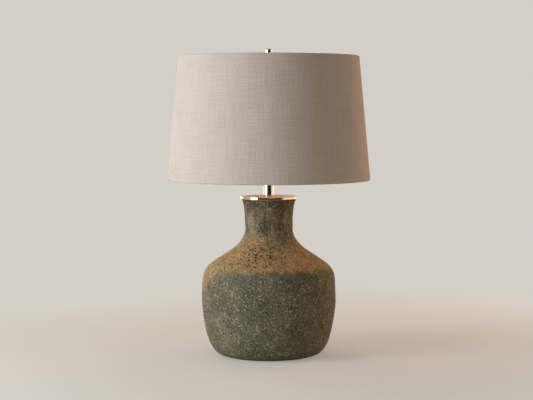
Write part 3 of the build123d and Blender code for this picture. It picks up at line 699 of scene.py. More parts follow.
@dataclass(frozen=True)
class ThreadedMetal(Metal):
    """A machined rod on the lamp's axis with a rolled screw thread.

    The thread is a sine of the level in turns plus the angle round the axis, drawn at its real
    pitch, and it stays off every face that stands further from the axis than the rod.
    """

    thread_pitch: float = 0.94
    rod_radius: float = 3.3
    clear_below: float = 0.0

    def pattern(self, tree: Tree) -> Output:
        """Give the thread's height on the rod and a flat height elsewhere."""
        place = object_millimetres(tree)
        axes = add_node(tree, "SeparateXYZ", {0: place}).node.outputs
        angle = add_node(tree, "Math", {0: axes[1], 1: axes[0]}, operation="ARCTAN2")
        turn = add_node(
            tree, "Math", {0: axes[2], 1: 2 * pi / self.thread_pitch, 2: angle}, operation="MULTIPLY_ADD"
        )
        wave = add_node(tree, "Math", {0: turn}, operation="SINE")
        on_rod = add_node(tree, "Math", {0: from_axis(tree), 1: self.rod_radius}, operation="LESS_THAN")
        above = add_node(tree, "Math", {0: axes[2], 1: self.clear_below}, operation="GREATER_THAN")
        where = add_node(tree, "Math", {0: on_rod, 1: above}, operation="MULTIPLY")
        cut = add_node(tree, "Math", {0: wave, 1: where}, operation="MULTIPLY")
        return add_node(tree, "Math", {0: cut, 1: 0.5, 2: 0.5}, operation="MULTIPLY_ADD")


@dataclass(frozen=True)
class Moulded(Finish):
    """Moulded plastic, rubber or sheet: one body colour with faint flow marks and a skin.

    The eye gets a soft gloss that changes slowly over the piece, and a fine grain in it.
    """

    colour: str
    flow: str
    roughness: float
    grain: float
    depth: float
    coat: float = 0.0
    flow_size: float = 18.0

    def paint(self, tree: Tree, shader: bpy.types.Node) -> None:
        """Mix the two tones by a slow noise, and take grain and gloss from a fine one."""
        place = object_millimetres(tree)
        slow = add_node(
            tree, "TexNoise",
            {"Vector": place, "Scale": 1 / self.flow_size, "Detail": 3.0, "Distortion": 1.0},
        )
        colour = add_node(tree, "ValToRGB", {0: slow}, ramp=((0.32, self.flow), (0.62, self.colour)))
        grain = add_node(tree, "TexNoise", {"Vector": place, "Scale": 1 / self.grain, "Detail": 2.0})
        smooth, rough = self.roughness - 0.06, self.roughness + 0.06
        gloss = add_node(tree, "MapRange", {0: grain, 1: 0.3, 2: 0.7, 3: smooth, 4: rough})
        bump = add_node(tree, "Bump", {"Strength": 0.6, "Distance": self.depth * MM, "Height": grain})
        feed(shader, {"Base Color": colour, "Roughness": gloss, "Normal": bump, "Coat Weight": self.coat})


@dataclass(frozen=True)
class PressedFibre(Finish):
    """Fibres pressed into a sheet, as wool felt or vulcanised fibre.

    The eye gets a mottle of crossed hairs, made by two noises drawn out level in two directions.
    """

    colour: str
    fleck: str
    hair: float
    hair_length: float
    depth: float

    def paint(self, tree: Tree, shader: bpy.types.Node) -> None:
        """Cross the two hair noises for colour and relief."""
        place = object_millimetres(tree)
        thin, long = 1 / self.hair, 1 / self.hair_length
        ways = []
        for scale in ((thin, long, thin), (long, thin, thin)):
            drawn = add_node(tree, "Mapping", {"Vector": place, "Scale": scale})
            ways.append(add_node(tree, "TexNoise", {"Vector": drawn, "Scale": 1.0, "Detail": 2.0}))
        hairs = add_node(tree, "Math", {0: ways[0], 1: ways[1]}, operation="MAXIMUM")
        colour = add_node(tree, "ValToRGB", {0: hairs}, ramp=((0.45, self.colour), (0.7, self.fleck)))
        bump = add_node(tree, "Bump", {"Strength": 0.8, "Distance": self.depth * MM, "Height": hairs})
        feed(shader, {"Base Color": colour, "Normal": bump, "Roughness": 0.95})


@dataclass(frozen=True)
class CoatedGlass(Finish):
    """Bulb glass, blown and powder-coated white inside, lit warm from within.

    The eye gets an even milky skin under clear glass, brightest on the globe and fading down
    the neck where less light reaches the coat.
    """

    colour: str = "#fff1dc"
    glow: str = "#ffb060"
    dim: str = "#8a5a2c"
    strength: float = 20.0
    neck_level: float = 512.0
    globe_level: float = 545.0
    powder_size: float = 0.8

    def paint(self, tree: Tree, shader: bpy.types.Node) -> None:
        """Let the glow rise from the neck to the globe by level."""
        place = object_millimetres(tree)
        level = add_node(tree, "SeparateXYZ", {0: place}, 2)
        share = add_node(tree, "MapRange", {0: level, 1: self.neck_level, 2: self.globe_level})
        glow = add_node(tree, "ValToRGB", {0: share}, ramp=((0.0, self.dim), (1.0, self.glow)))
        powder = add_node(tree, "TexNoise", {"Vector": place, "Scale": 1 / self.powder_size, "Detail": 2.0})
        skin = add_node(tree, "MapRange", {0: powder, 3: 0.18, 4: 0.3})
        feed(shader, {
            "Base Color": linear(self.colour), "Roughness": skin, "Emission Color": glow,
            "Emission Strength": self.strength,
        })


# Stoneware bottle, dry volcanic glaze; wool felt under it; vulcanised rubber in its heel
GLAZE = VolcanicGlaze("volcanic_glaze")
FELT = PressedFibre("wool_felt", "#23281f", "#343b2d", 0.5, 4.0, 0.3)
RUBBER = Moulded("vulcanised_rubber", "#1d1c1b", "#262423", 0.62, 0.6, 0.06)
# Nickel plate: buffed parts mirror the room, the faced disc scatters it into rings, and drawn wire
# has long marks
NICKEL = Metal("buffed_nickel", "#d5cdc1", "#cbc2b4", 0.09, 0.03, (3.0, 3.0, 3.0), 0.01)
DISC_NICKEL = TurnedMetal("faced_nickel", "#d7cbb9", "#cdbfa9", 0.4, 0.06, (3.0, 3.0, 3.0), 0.015)
WIRE_NICKEL = Metal("drawn_nickel_wire", "#c9c2b6", "#b9b1a4", 0.2, 0.06, (0.8, 0.8, 12.0), 0.015)
STUD_NICKEL = ThreadedMetal(
    "threaded_nickel", "#c9c2b6", "#b9b1a4", 0.22, 0.05, (1.0, 1.0, 1.0), 0.45, clear_below=661.2
)
# Zinc on pressed steel: grey, spangled, duller than nickel; the pipe has a rolled thread
ZINC = Metal("zinc_plated_steel", "#b3b5b4", "#94989a", 0.36, 0.1, (2.2, 2.2, 2.2), 0.03)
PIPE_ZINC = ThreadedMetal(
    "threaded_zinc_pipe", "#b3b5b4", "#94989a", 0.36, 0.08, (1.0, 1.0, 1.0), 0.5, rod_radius=5.0
)
# Spun brass for the socket, with upright draw marks; plain yellow brass contacts
SHELL_BRASS = Metal("spun_brass", "#d0ad6a", "#b58f4e", 0.24, 0.07, (0.7, 0.7, 9.0), 0.02)
BRASS = Metal("yellow_brass", "#d8b468", "#b98f47", 0.3, 0.08, (1.2, 1.2, 1.2), 0.02)
ALUMINIUM = Metal("stamped_aluminium", "#c9cacb", "#b4b6b8", 0.27, 0.06, (0.8, 0.8, 4.0), 0.02)
# Thermoset and thermoplastic mouldings, fibre, vitrified insulator and sheet styrene
PHENOLIC = Moulded("phenolic_block", "#211a16", "#2f2620", 0.38, 1.0, 0.02)
KNOB = Moulded("urea_knob", "#191715", "#231f1c", 0.22, 0.8, 0.01, 0.4)
PLUG = Moulded("moulded_plug", "#cfc9bf", "#c3bcb0", 0.5, 1.2, 0.03)
VITRITE = Moulded("black_vitrite", "#121217", "#1c1c24", 0.14, 0.9, 0.01, 0.3)
STYRENE = Moulded("styrene_sheet", "#efe8db", "#e6dccb", 0.42, 1.6, 0.02)
FIBRE = PressedFibre("vulcanised_fibre", "#7b5a36", "#94724a", 0.4, 5.0, 0.08)
GLASS = CoatedGlass("coated_bulb_glass")
LINEN = WovenLinen("slub_linen")


# Sub-assemblies


@dataclass
class Assembly:
    """A group of pieces that are built, dressed and hung on the frame together."""

    def dress_nodes(self, finish: Finish, *names: str) -> None:
        """Give CAD nodes, whose shapes stay as they are, a finish."""
        for name in names:
            finish.dress(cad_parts[name])
            LOG.info("%s: %s on the CAD node", name, finish.name)

    def add_piece(
        self, piece: bpy.types.Object, body: Body, slot: str, finish: Finish, *nodes: str
    ) -> None:
        """Hang a new piece on its body, in the place of the nodes that it stands for.

        Args:
            piece: the new object.
            body: the body that it rides on.
            slot: the record's material slot; not used.
            finish: its finish.
            nodes: the CAD nodes that it replaces.
        """
        finish.dress(piece)
        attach(piece, body.value)
        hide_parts(*nodes)
        faces = len(piece.data.polygons)
        LOG.info("%s: %d faces of %s on %s", piece.name, faces, finish.name, body.value)


@dataclass
class Bottle(Assembly):
    """The thrown bottle with its felt pad and cord gland. Sizes are the CAD's, in millimetres."""

    foot_level: float = 2.0
    height: float = 350.0
    wall: float = 7.0
    floor_level: float = 23.0
    recess_level: float = 14.0
    pipe_hole: float = 5.05
    foot_radius: float = 107.0
    foot_width: float = 18.0
    heel_reach: float = 35.5
    belly_radius: float = 151.3
    belly_height: float = 120.5
    belly_fall: float = 19.5
    belly_rise: float = 63.5
    shoulder_radius: float = 118.7
    shoulder_height: float = 213.4
    shoulder_slope: float = 33.2
    shoulder_bend: float = 38.0
    shoulder_run: float = 36.5
    throat_bend: float = 32.7
    neck_radius: float = 53.8
    neck_height: float = 284.0
    neck_fall: float = 12.0
    neck_rise: float = 36.0
    lip_radius: float = 61.5
    lip_flare: float = 5.0
    lip_drop: float = 9.0
    gland_place: float = 0.42
    gland_hole: float = 6.2
    gland_clear: tuple[float, float] = (9.5, 24.0)
    crust_sizes: tuple[float, ...] = (170.0, 60.0, 26.0, 12.0, 5.5)
    ring_pitch: float = 17.0
    columns: int = 500
    outer_rows: int = 168
    inner_rows: int = 20

    def wall_line(self, inset: float, bottom: float) -> Array:
        """Draw the wall from heel to lip: four cubic curves and the straight shoulder between them.

        Args:
            inset: distance inside the outer face.
            bottom: the level that it starts at.

        Returns:
            Rows of radius and level.
        """
        slope = radians(self.shoulder_slope)
        up, right = np.array([0.0, 1.0]), np.array([1.0, 0.0])
        climb, outward = np.array([-cos(slope), sin(slope)]), np.array([sin(slope), cos(slope)])
        foot = self.foot_level
        heel = np.array([self.foot_radius, bottom])
        belly = np.array([self.belly_radius - inset, foot + self.belly_height])
        shoulder = np.array([self.shoulder_radius, foot + self.shoulder_height]) - outward * inset
        top = shoulder + climb * self.shoulder_run
        neck = np.array([self.neck_radius - inset, foot + self.neck_height])
        lip = np.array([self.lip_radius - inset, foot + self.height])
        lip_pull = lip - np.array([self.lip_flare, self.lip_drop])
        return np.concatenate([
            bezier(heel, heel + right * (self.heel_reach - inset), belly - up * self.belly_fall, belly),
            bezier(
                belly, belly + up * self.belly_rise, shoulder - climb * self.shoulder_bend, shoulder
            )[1:],
            bezier(top, top + climb * self.throat_bend, neck - up * self.neck_fall, neck),
            bezier(neck, neck + up * self.neck_rise, lip_pull, lip)[1:],
        ])

    def gland_axis(self) -> tuple[Array, Array]:
        """Find the gland's point on the heel curve, by the share of its length, and its way out.

        Returns:
            Radius and level of the point, and the unit vector square to the wall.
        """
        heel = self.wall_line(0, self.foot_level)[:40]
        run = np.concatenate([[0.0], np.cumsum(np.hypot(*np.diff(heel, axis=0).T))])
        near = self.gland_place * run[-1] + np.array([-1.0, 0.0, 1.0])
        points = np.stack([np.interp(near, run, heel[:, axis]) for axis in (0, 1)], axis=1)
        along = points[2] - points[0]
        return points[1], np.array([along[1], -along[0]]) / hypot(*along)

    def crust(self, angle: Array, radius: Array, level: Array) -> Array:
        """Give the hand-thrown surface's departure from the true form.

        It is a slow wobble of the whole pot, throwing rings that drift up and down, and a lumpy
        crust of three sizes, all faded out at the foot, under the cap and round the gland. The
        crust sizes are those of the wobble, the drift and the three lumps.

        Args:
            angle: angle round the axis.
            radius: radius of the true form.
            level: level above the table.

        Returns:
            Millimetres to add to the radius.
        """
        rounds = 2 * pi * self.belly_radius
        along, up = angle / (2 * pi) * rounds + 0 * level, level + 0 * angle
        slow, drift, large, small, fine = (
            smooth_noise(along, up, size, rounds, seed) for seed, size in enumerate(self.crust_sizes, 3)
        )
        rings = np.sin(2 * pi * (up + 4 * drift) / self.ring_pitch)
        lumps = large + 0.7 * small
        x, y = radius * np.sin(angle), -radius * np.cos(angle)
        gland_out, gland_level = self.gland_axis()[0]
        from_gland = np.sqrt(x**2 + (y - gland_out) ** 2 + (level - gland_level) ** 2)
        top = self.foot_level + self.height
        fade = smoothstep(level, self.foot_level, 12.0) * (1 - smoothstep(level, top - 9.0, top - 2.0))
        fade = fade * smoothstep(from_gland, *self.gland_clear)
        return fade * (0.5 * slow + 0.1 * rings + 0.4 * lumps + 0.24 * fine)

    def drill(self, bottle: bpy.types.Object) -> None:
        """Cut the gland's hole through the heel, square to the wall."""
        place, out = self.gland_axis()
        turn = Vector((0, *out)).to_track_quat("Z", "X").to_matrix().to_4x4()
        made = bmesh.new()
        bmesh.ops.create_cone(
            made, cap_ends=True, segments=48, radius1=self.gland_hole * MM, radius2=self.gland_hole * MM,
            depth=4 * self.wall * MM, matrix=Matrix.Translation(Vector((0, *place)) * MM) @ turn,
        )
        mesh = bpy.data.meshes.new("drill")
        made.to_mesh(mesh)
        made.free()
        cutter = bpy.data.objects.new("drill", mesh)
        bpy.context.scene.collection.objects.link(cutter)
        cut = bottle.modifiers.new("gland_hole", "BOOLEAN")
        cut.object, cut.operation, cut.solver = cutter, "DIFFERENCE", "EXACT"
        whole = bottle.data
        drilled = bottle.evaluated_get(bpy.context.evaluated_depsgraph_get())
        bottle.data = bpy.data.meshes.new_from_object(drilled)
        bottle.modifiers.clear()
        bpy.data.objects.remove(cutter)
        bpy.data.meshes.remove(mesh)
        bpy.data.meshes.remove(whole)

    def build(self) -> None:
        """Make the bottle and dress its CAD neighbours."""
        outer = resample(self.wall_line(0, self.foot_level), self.outer_rows)
        inner = resample(self.wall_line(self.wall, self.floor_level), self.inner_rows)
        lip = eased([
            (outer[-1, 0], outer[-1, 1] - 3, 0), (*outer[-1], 1.8), (*inner[-1], 1.8),
            (inner[-1, 0], inner[-1, 1] - 3, 0),
        ])[1:-1]
        recess_radius = self.foot_radius - self.foot_width
        under = eased([
            (self.foot_radius, self.floor_level, 0), (self.pipe_hole, self.floor_level, 0.8),
            (self.pipe_hole, self.recess_level, 0.8), (recess_radius, self.recess_level, 2.0),
            (recess_radius, self.foot_level, 1.2),
        ])
        section = np.concatenate([outer[:-1], lip, inner[::-1][1:], under[1:]])
        outside = np.arange(len(section))[:, None] < self.outer_rows - 1
        bottle = turned(
            "glazed_bottle", section, self.columns,
            swell=lambda angle, radius, level: np.where(outside, self.crust(angle, radius, level), 0.0),
        )
        self.drill(bottle)
        self.add_piece(bottle, Body.BASE, "glaze", GLAZE, "bottle")
        self.dress_nodes(FELT, "felt_pad")
        self.dress_nodes(RUBBER, "cord_gland")


@dataclass
class NeckHardware(Assembly):
    """The cap disc and all that the lamp pipe clamps. Sizes in millimetres."""

    cap_level: float = 353.2
    cap_top: float = 358.2
    cap_radius: float = 64.2
    boss_radius: float = 10.1
    boss_top: float = 359.7
    pipe_hole: float = 5.05
    edge: float = 0.6
    columns: int = 300

    def build(self) -> None:
        """Turn the disc with eased edges, and dress the nodes that keep their shapes."""
        section = eased([
            (self.pipe_hole, self.cap_level, 0.3), (self.cap_radius, self.cap_level, self.edge),
            (self.cap_radius, self.cap_top, self.edge), (self.boss_radius, self.cap_top, 0.2),
            (self.boss_radius, self.boss_top, 0.3), (self.pipe_hole, self.boss_top, 0.3),
        ])
        disc = turned("cap_disc_turned", section, self.columns)
        self.add_piece(disc, Body.BASE, "nickel", DISC_NICKEL, "cap_disc")
        self.dress_nodes(NICKEL, "neck_tube", "tube_cap")
        self.dress_nodes(WIRE_NICKEL, "harp_saddle")
        self.dress_nodes(ZINC, "check_plate", "bottom_lock_washer", "bottom_nut", "saddle_nut")
        self.dress_nodes(PIPE_ZINC, "lamp_pipe")
        self.dress_nodes(PLUG, "neck_plug")


@dataclass
class Socket(Assembly):
    """The turn-knob socket. Its screw shell is rolled with a round thread. Sizes in millimetres."""

    shell_level: float = 478.0
    shell_top: float = 502.0
    shell_radius: float = 13.75
    sheet: float = 0.4
    floor_hole: float = 7.0
    pitch: float = 3.62
    thread: float = 0.3
    columns: int = 96
    rows: int = 110

    def helix(self, angle: Array, radius: Array, level: Array) -> Array:
        """Swell the wall in a screw line: a sine of level over pitch less angle over a turn."""
        inside = smoothstep(level, self.shell_level + 1.5, self.shell_level + 3.5)
        inside = inside * (1 - smoothstep(level, self.shell_top - 2.5, self.shell_top - 0.8))
        wave = np.sin(2 * pi * (level - self.shell_level) / self.pitch - angle)
        return np.where(radius > self.floor_hole + 2, inside * self.thread * wave, 0.0)

    def build(self) -> None:
        """Roll the screw shell and dress the rest."""
        level = np.linspace(self.shell_level, self.shell_top, self.rows)
        outer = np.stack([np.full(self.rows, self.shell_radius), level], 1)
        inner = np.stack([np.full(self.rows, self.shell_radius - self.sheet), level], 1)
        inner[0, 1] += self.sheet
        hole, bottom = self.floor_hole, self.shell_level
        floor = np.array([[hole, bottom + self.sheet], [hole, bottom]])
        section = np.concatenate([outer, inner[::-1], floor])
        shell = turned("screw_shell_rolled", section, self.columns, swell=self.helix)
        self.add_piece(shell, Body.BASE, "contact_brass", BRASS, "screw_shell")
        self.dress_nodes(SHELL_BRASS, "socket_cap", "socket_shell")
        self.dress_nodes(ZINC, "socket_set_screw")
        self.dress_nodes(FIBRE, "socket_liner")
        self.dress_nodes(PHENOLIC, "switch_body")
        self.dress_nodes(BRASS, "terminal_screws", "centre_contact", "switch_shaft")
        self.dress_nodes(KNOB, "switch_knob")


@dataclass
class Bulb(Assembly):
    """The bulb. Its aluminium cap carries the rolled thread. Sizes in millimetres."""

    cap_level: float = 486.3
    cap_top: float = 507.3
    taper: float = 3.0
    radius: float = 12.75
    foot_radius: float = 10.0
    sheet: float = 0.4
    pitch: float = 3.62
    thread: float = 0.33
    columns: int = 96
    rows: int = 90

    def helix(self, angle: Array, radius: Array, level: Array) -> Array:
        """Swell the cap in a screw line over its straight part."""
        inside = smoothstep(level, self.cap_level + self.taper, self.cap_level + self.taper + 2)
        inside = inside * (1 - smoothstep(level, self.cap_top - 4.0, self.cap_top - 2.0))
        wave = np.sin(2 * pi * (level - self.cap_level) / self.pitch - angle)
        return inside * self.thread * wave

    def build(self) -> None:
        """Roll the cap and dress the glass, the insulator and the button."""
        level = np.linspace(self.cap_level + self.taper, self.cap_top, self.rows)
        outer = np.stack([np.full(self.rows, self.radius), level], 1)
        inner = np.stack([np.full(self.rows, self.radius - self.sheet), level], 1)
        outer[-8:, 0] += 0.3 * smoothstep(level[-8:], level[-8], level[-1])
        inner[-8:, 0] += 0.3 * smoothstep(level[-8:], level[-8], level[-1])
        foot = np.array([
            [self.foot_radius - self.sheet, self.cap_level], [self.foot_radius, self.cap_level],
        ])
        section = np.concatenate([foot, outer, inner[::-1]])
        cap = turned("bulb_cap_rolled", section, self.columns, swell=self.helix)
        self.add_piece(cap, Body.BULB, "bulb_cap_metal", ALUMINIUM, "bulb_cap")
        self.dress_nodes(GLASS, "bulb_glass")
        self.dress_nodes(VITRITE, "bulb_insulator")
        self.dress_nodes(BRASS, "bulb_button")


@dataclass
class Harp(Assembly):
    """The wire harp, its ferrules and the stud."""

    def build(self) -> None:
        """Dress the harp's nodes."""
        self.dress_nodes(WIRE_NICKEL, "harp_loop")
        self.dress_nodes(NICKEL, "ferrule_left", "ferrule_right")
        self.dress_nodes(STUD_NICKEL, "harp_stud")


@dataclass
class Shade(Assembly):
    """The drum shade: linen turned over two wire rings. Sizes in millimetres."""

    top_radius: float = 203.2
    bottom_radius: float = 228.6
    top_level: float = 674.2
    height: float = 279.4
    hem_radius: float = 2.95
    cloth: float = 0.7
    hem_length: float = 9.0
    notch: float = 2.05
    arm_angles: tuple[float, ...] = (-180.0, -60.0, 60.0, 180.0)
    seam_angle: float = 172.0
    lap_height: float = 0.6
    lap_width: float = 26.0
    columns: int = 420
    side_rows: int = 46
    roll_rows: int = 10

    @property
    def rings(self) -> tuple[Array, Array]:
        """Radius and level of the two ring centres."""
        hem, bottom_level = self.hem_radius, self.top_level - self.height
        top = np.array([self.top_radius - hem, self.top_level - hem])
        bottom = np.array([self.bottom_radius - hem, bottom_level + hem])
        return top, bottom

    def stations(self) -> Array:
        """Space the columns round the shade, with close pairs at the notches' edges and the lap."""
        seam = radians(self.seam_angle)
        even = np.linspace(seam - 2 * pi, seam, self.columns, endpoint=False)
        half = self.notch / self.rings[0][0]
        arms = np.radians(np.array(self.arm_angles))[:, None]
        edges = (arms + np.array([-half - 4e-4, -half + 4e-4, half - 4e-4, half + 4e-4])).ravel()
        every = np.sort(np.concatenate([even, edges, [seam - 6e-4]]))
        every = every[(every >= seam - 2 * pi - 1e-9) & (every < seam)]
        return every[np.r_[True, np.diff(every) > 1e-4]]

    def sheet_point(self, run: Array, offset: Array) -> tuple[Array, Array]:
        """Carry the cloth's section along one path.

        The path is the hem inside, half a turn over the top ring, straight down the side, half a
        turn under the bottom ring and the hem inside it. Half turns are (R sin t, R cos t).

        Args:
            run: distance along the cloth's middle line from the end of the top hem.
            offset: distance from that middle line, away from the rings.

        Returns:
            Distance down the side from the top ring's centre, and distance out from the line
            between the ring centres.
        """
        top, bottom = self.rings
        side, middle = hypot(*(bottom - top)), self.hem_radius - self.cloth / 2
        marks = np.cumsum([self.hem_length, pi * middle, side, pi * middle])
        out = middle + offset
        over, beneath = (run - marks[0]) / middle, (run - marks[2]) / middle
        before = [run < mark for mark in marks]
        down = np.select(
            before, [marks[0] - run, -out * np.sin(over), run - marks[1], side + out * np.sin(beneath)],
            side - (run - marks[3]),
        )
        away = np.select(before, [-out, -out * np.cos(over), out, out * np.cos(beneath)], -out)
        return down, away

    def cover(self) -> bpy.types.Object:
        """Make the linen cover.

        Rows run along the sheet and back along its other face. Columns go round. The cloth's UV is
        its place on the flat cut, in metres: a point at a distance D from the cone's tip and at an
        angle a round the shade lies at (D sin(a k), -D cos(a k)), where k is ring radius over D.

        Returns:
            The cover.
        """
        top, bottom = self.rings
        side, middle = hypot(*(bottom - top)), self.hem_radius - self.cloth / 2
        angle = self.stations()[None, :]
        roll, hem = pi * middle, self.hem_length
        crest = hem + roll / 2
        first = np.linspace(0, 1, self.roll_rows)[:, None]
        rest = np.concatenate([
            np.linspace(crest, hem + roll, self.roll_rows)[1:],
            np.linspace(hem + roll, hem + roll + side, self.side_rows)[1:],
            np.linspace(hem + roll + side, 2 * (hem + roll) + side, 2 * self.roll_rows)[1:],
        ])[:, None]
        arms = np.radians(np.array(self.arm_angles))[:, None]
        near = np.min(np.abs(angle - arms), axis=0)[None, :] < self.notch / top[0]
        start = np.where(near, hem + middle * asin(self.notch / middle), 0.0)
        run = np.concatenate([start + (crest - start) * first, rest + 0 * angle])
        # The lap: the outer edge stands proud at the seam and sinks back over the lap's width
        seam = radians(self.seam_angle)
        past = (angle - (seam - 2 * pi)) * bottom[0]
        lap = self.lap_height * (1 - smoothstep(past, 0.0, self.lap_width))
        half = self.cloth / 2
        down_out, away_out = self.sheet_point(run, lap + half + 0 * run)
        down_in, away_in = self.sheet_point(run, lap - half + 0 * run)
        down, away = np.concatenate([down_out, down_in[::-1]]), np.concatenate([away_out, away_in[::-1]])
        along = (bottom - top) / side
        outward = np.array([-along[1], along[0]])
        radius = top[0] + down * along[0] + away * outward[0]
        level = top[1] + down * along[1] + away * outward[1]
        points = np.stack([radius * np.sin(angle), -radius * np.cos(angle), level], -1)
        tip = top[0] / along[0]
        strip = np.concatenate([run, run[::-1]]) - (hem + roll) + tip
        strip = np.concatenate([strip, strip[:1]])
        strip = np.concatenate([strip, strip[:, :1]], axis=1)
        sweep = np.concatenate([angle, angle[:, :1] + 2 * pi], axis=1) * along[0]
        uv = np.stack([strip * np.sin(sweep), -strip * np.cos(sweep)], -1)
        return surface("linen_cover", points * MM, uv=uv * MM, loop=True)

    def build(self) -> None:
        """Make the cover, and dress the frame and the liner."""
        cover = self.cover()
        self.add_piece(cover, Body.SHADE, "linen", LINEN, "shade_cover")
        rings = ["shade_top_ring", "shade_bottom_ring"]
        arms = ["spider_arm_1", "spider_arm_2", "spider_arm_3"]
        self.dress_nodes(STYRENE, "shade_liner")
        self.dress_nodes(WIRE_NICKEL, *rings, *arms)
        self.dress_nodes(NICKEL, "fitter_washer")


@dataclass
class Finial(Assembly):
    """The turned finial with its blind threaded hole. Sizes in millimetres."""

    foot: float = 661.5
    radius: float = 8.0
    base_height: float = 3.0
    waist_radius: float = 5.4
    waist_height: float = 4.0
    bead: float = 0.5
    bead_height: float = 1.6
    height: float = 29.0
    dome: float = 2.4
    hole_radius: float = 3.21
    hole_top: float = 672.4
    columns: int = 96

    def build(self) -> None:
        """Turn the finial: eased base, waist and bead, a straight body and a shallow dome."""
        waist, body = self.foot + self.base_height, self.foot + self.base_height + self.waist_height
        top, side = self.foot + self.height, self.radius - self.bead
        hole, narrow, wide = self.hole_radius, self.waist_radius, self.radius
        bead_top, dome_foot = body + self.bead_height, top - self.dome - 1.0
        lower = eased([
            (0.0, self.hole_top, 0), (hole, self.hole_top, 0.3), (hole, self.foot, 0.3),
            (wide, self.foot, 0.5), (wide, waist, 0.8), (narrow, waist, 0.8), (narrow, body, 0.8),
            (wide, body, 0.6), (wide, bead_top, 0.4), (side, bead_top, 0.2), (side, dome_foot, 0),
        ])
        dome = bezier(
            np.array([side, dome_foot]), np.array([side, top - self.dome + 0.9]),
            np.array([side * 0.6, top]), np.array([0.0, top]), 14,
        )
        section = np.concatenate([lower, dome[1:]])
        finial = turned("finial_turned", section, self.columns, loop=False)
        self.add_piece(finial, Body.FINIAL, "nickel", NICKEL, "finial")


# Studio


@dataclass
class Softbox:
    """A rectangular studio light that looks at the lamp. Angles in degrees, lengths in metres."""

    name: str
    azimuth: float
    level: float
    distance: float
    size: tuple[float, float]
    power: float
    colour: str

    def build(self) -> None:
        """Stand the light round the lamp; azimuth 0 is the front and 90 is the lamp's right."""
        light = bpy.data.lights.new(self.name, "AREA")
        light.shape = "RECTANGLE"
        light.size, light.size_y = self.size
        light.energy = self.power
        light.color = linear(self.colour)[:3]
        stand = bpy.data.objects.new(self.name, light)
        turn = radians(self.azimuth)
        stand.location = (self.distance * sin(turn), -self.distance * cos(turn), self.level)
        stand.rotation_euler = (Vector((0, 0, 0.4)) - stand.location).to_track_quat("-Z", "Y").to_euler()
        stand.visible_camera = False
        bpy.context.scene.collection.objects.link(stand)
        LOG.info("%s: %.0f W at %.0f degrees", self.name, self.power, self.azimuth)


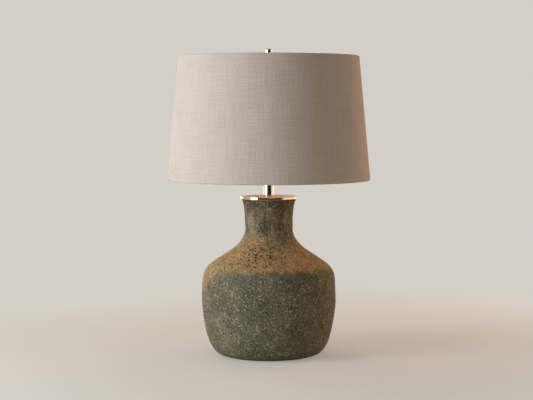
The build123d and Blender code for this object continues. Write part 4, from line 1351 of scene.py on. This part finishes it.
@dataclass
class Studio:
    """A pale seamless studio and the camera of the photograph, in metres, pixels and degrees."""

    paper: str = "#cfccc6"
    backdrop: str = "#d3cfc8"
    dark_side: str = "#2e2a26"
    ambient: float = 0.13
    ceiling: float = 0.5
    floor_radius: float = 3.0
    floor_gap: float = 2e-4
    near_floor: float = 0.3
    far_floor: float = 1.4
    paleness: float = 0.4
    focal_pixels: float = 1452.0
    camera_distance: float = 3.278
    camera_level: float = 0.5578
    camera_tilt: float = 3.635
    axis_column: float = 268.9
    boxes: list[Softbox] = field(default_factory=lambda: [
        Softbox("key_softbox", -62.0, 0.75, 1.8, (1.0, 1.5), 34.5, "#fcfbff"),
        Softbox("warm_softbox", 93.0, 0.45, 1.5, (1.9, 1.1), 5.0, "#ffd0a4"),
        Softbox("rim_softbox", 137.0, 0.5, 1.4, (0.35, 1.1), 7.0, "#ffae72"),
        Softbox("back_softbox", -150.0, 0.6, 1.5, (1.0, 1.1), 9.0, "#fff0de"),
    ])

    def seen_share(self, tree: Tree) -> Output:
        """Give 1 for rays that show the background: straight, mirrored or through glass."""
        rays = add_node(tree, "LightPath").node.outputs
        seen = add_node(
            tree, "Math", {0: rays["Is Camera Ray"], 1: rays["Is Glossy Ray"]}, operation="MAXIMUM"
        )
        return add_node(tree, "Math", {0: seen, 1: rays["Is Transmission Ray"]}, operation="MAXIMUM")

    def world(self) -> None:
        """Light the room from its ceiling down and show it pale.

        Mirrored rays find the side behind the camera unlit and the ceiling mostly so, as metal in
        a studio does.
        """
        world = bpy.data.worlds.new("studio")
        bpy.context.scene.world = world
        world.use_nodes = True
        tree = world.node_tree
        tree.nodes.clear()
        rays = add_node(tree, "LightPath").node.outputs
        way = add_node(tree, "TexCoord", output="Generated")
        sides = add_node(tree, "SeparateXYZ", {0: way}).node.outputs
        behind = add_node(
            tree, "MapRange", {0: sides[1], 1: -0.45, 2: -0.68}, interpolation_type="SMOOTHSTEP"
        )
        above = add_node(
            tree, "MapRange", {0: sides[2], 1: 0.4, 2: 0.75}, interpolation_type="SMOOTHSTEP"
        )
        above = add_node(tree, "Math", {0: above, 1: 0.7}, operation="MULTIPLY")
        unlit = add_node(tree, "Math", {0: behind, 1: above}, operation="MAXIMUM")
        mirrored = add_node(tree, "Math", {0: unlit, 1: rays["Is Glossy Ray"]}, operation="MULTIPLY")
        wall = add_node(
            tree, "Mix", {0: mirrored, 6: linear(self.backdrop), 7: linear(self.dark_side)}, 2,
            data_type="RGBA",
        )
        shown = add_node(tree, "Background", {"Color": wall, "Strength": 1.0})
        level = add_node(tree, "MapRange", {0: sides[2], 3: self.ambient, 4: self.ceiling})
        lit = add_node(tree, "Background", {"Color": linear("#f6ecdf"), "Strength": level})
        both = add_node(tree, "MixShader", {0: self.seen_share(tree), 1: lit, 2: shown})
        add_node(tree, "OutputWorld", {"Surface": both})

    def floor(self) -> None:
        """Lay a round paper floor that takes the shadow near the lamp and fades into the backdrop."""
        reach = np.linspace(0, self.floor_radius, 60)[:, None]
        turn = np.linspace(0, 2 * pi, 120, endpoint=False)[None, :]
        x, y, level = reach * np.cos(turn), reach * np.sin(turn), -self.floor_gap
        points = np.stack(np.broadcast_arrays(x, y, level), -1)
        floor = surface("paper_floor", points[::-1])
        paper = bpy.data.materials.new("studio_paper")
        paper.use_nodes = True
        tree = paper.node_tree
        tree.nodes.clear()
        place = add_node(tree, "TexCoord", output="Object")
        away = add_node(tree, "VectorMath", {0: place}, "Value", operation="LENGTH")
        fade = add_node(
            tree, "MapRange", {0: away, 1: self.near_floor, 2: self.far_floor, 3: self.paleness},
            interpolation_type="SMOOTHSTEP",
        )
        share = add_node(tree, "Math", {0: fade, 1: self.seen_share(tree)}, operation="MULTIPLY")
        sheet = add_node(tree, "BsdfDiffuse", {"Color": linear(self.paper)})
        shown = add_node(tree, "Emission", {"Color": linear(self.backdrop), "Strength": 1.0})
        both = add_node(tree, "MixShader", {0: share, 1: sheet, 2: shown})
        add_node(tree, "OutputMaterial", {"Surface": both})
        floor.data.materials.append(paper)

    def camera(self) -> None:
        """Stand the camera in front of the lamp, tilted down a little."""
        lens = bpy.data.cameras.new("camera")
        lens.sensor_width = 36.0
        lens.lens = self.focal_pixels * lens.sensor_width / IMAGE_WIDTH
        lens.clip_start, lens.clip_end = 0.1, 30.0
        camera = bpy.data.objects.new("camera", lens)
        pan = atan((self.axis_column - IMAGE_WIDTH / 2) / self.focal_pixels)
        camera.location = (0.0, -self.camera_distance, self.camera_level)
        camera.rotation_euler = (pi / 2 - radians(self.camera_tilt), 0.0, pan)
        bpy.context.scene.collection.objects.link(camera)
        bpy.context.scene.camera = camera

    def build(self) -> None:
        """Set up the room, the lights and the camera."""
        bpy.context.scene.view_settings.view_transform = "Standard"
        self.world()
        self.floor()
        for box in self.boxes:
            box.build()
        self.camera()


def main() -> None:
    """Build the lamp and the studio."""
    logging.basicConfig(level=logging.INFO, format="%(name)s: %(message)s")
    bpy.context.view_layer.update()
    for assembly in (Bottle(), NeckHardware(), Socket(), Bulb(), Harp(), Shade(), Finial(), Studio()):
        assembly.build()


if __name__ == "__main__":
    main()
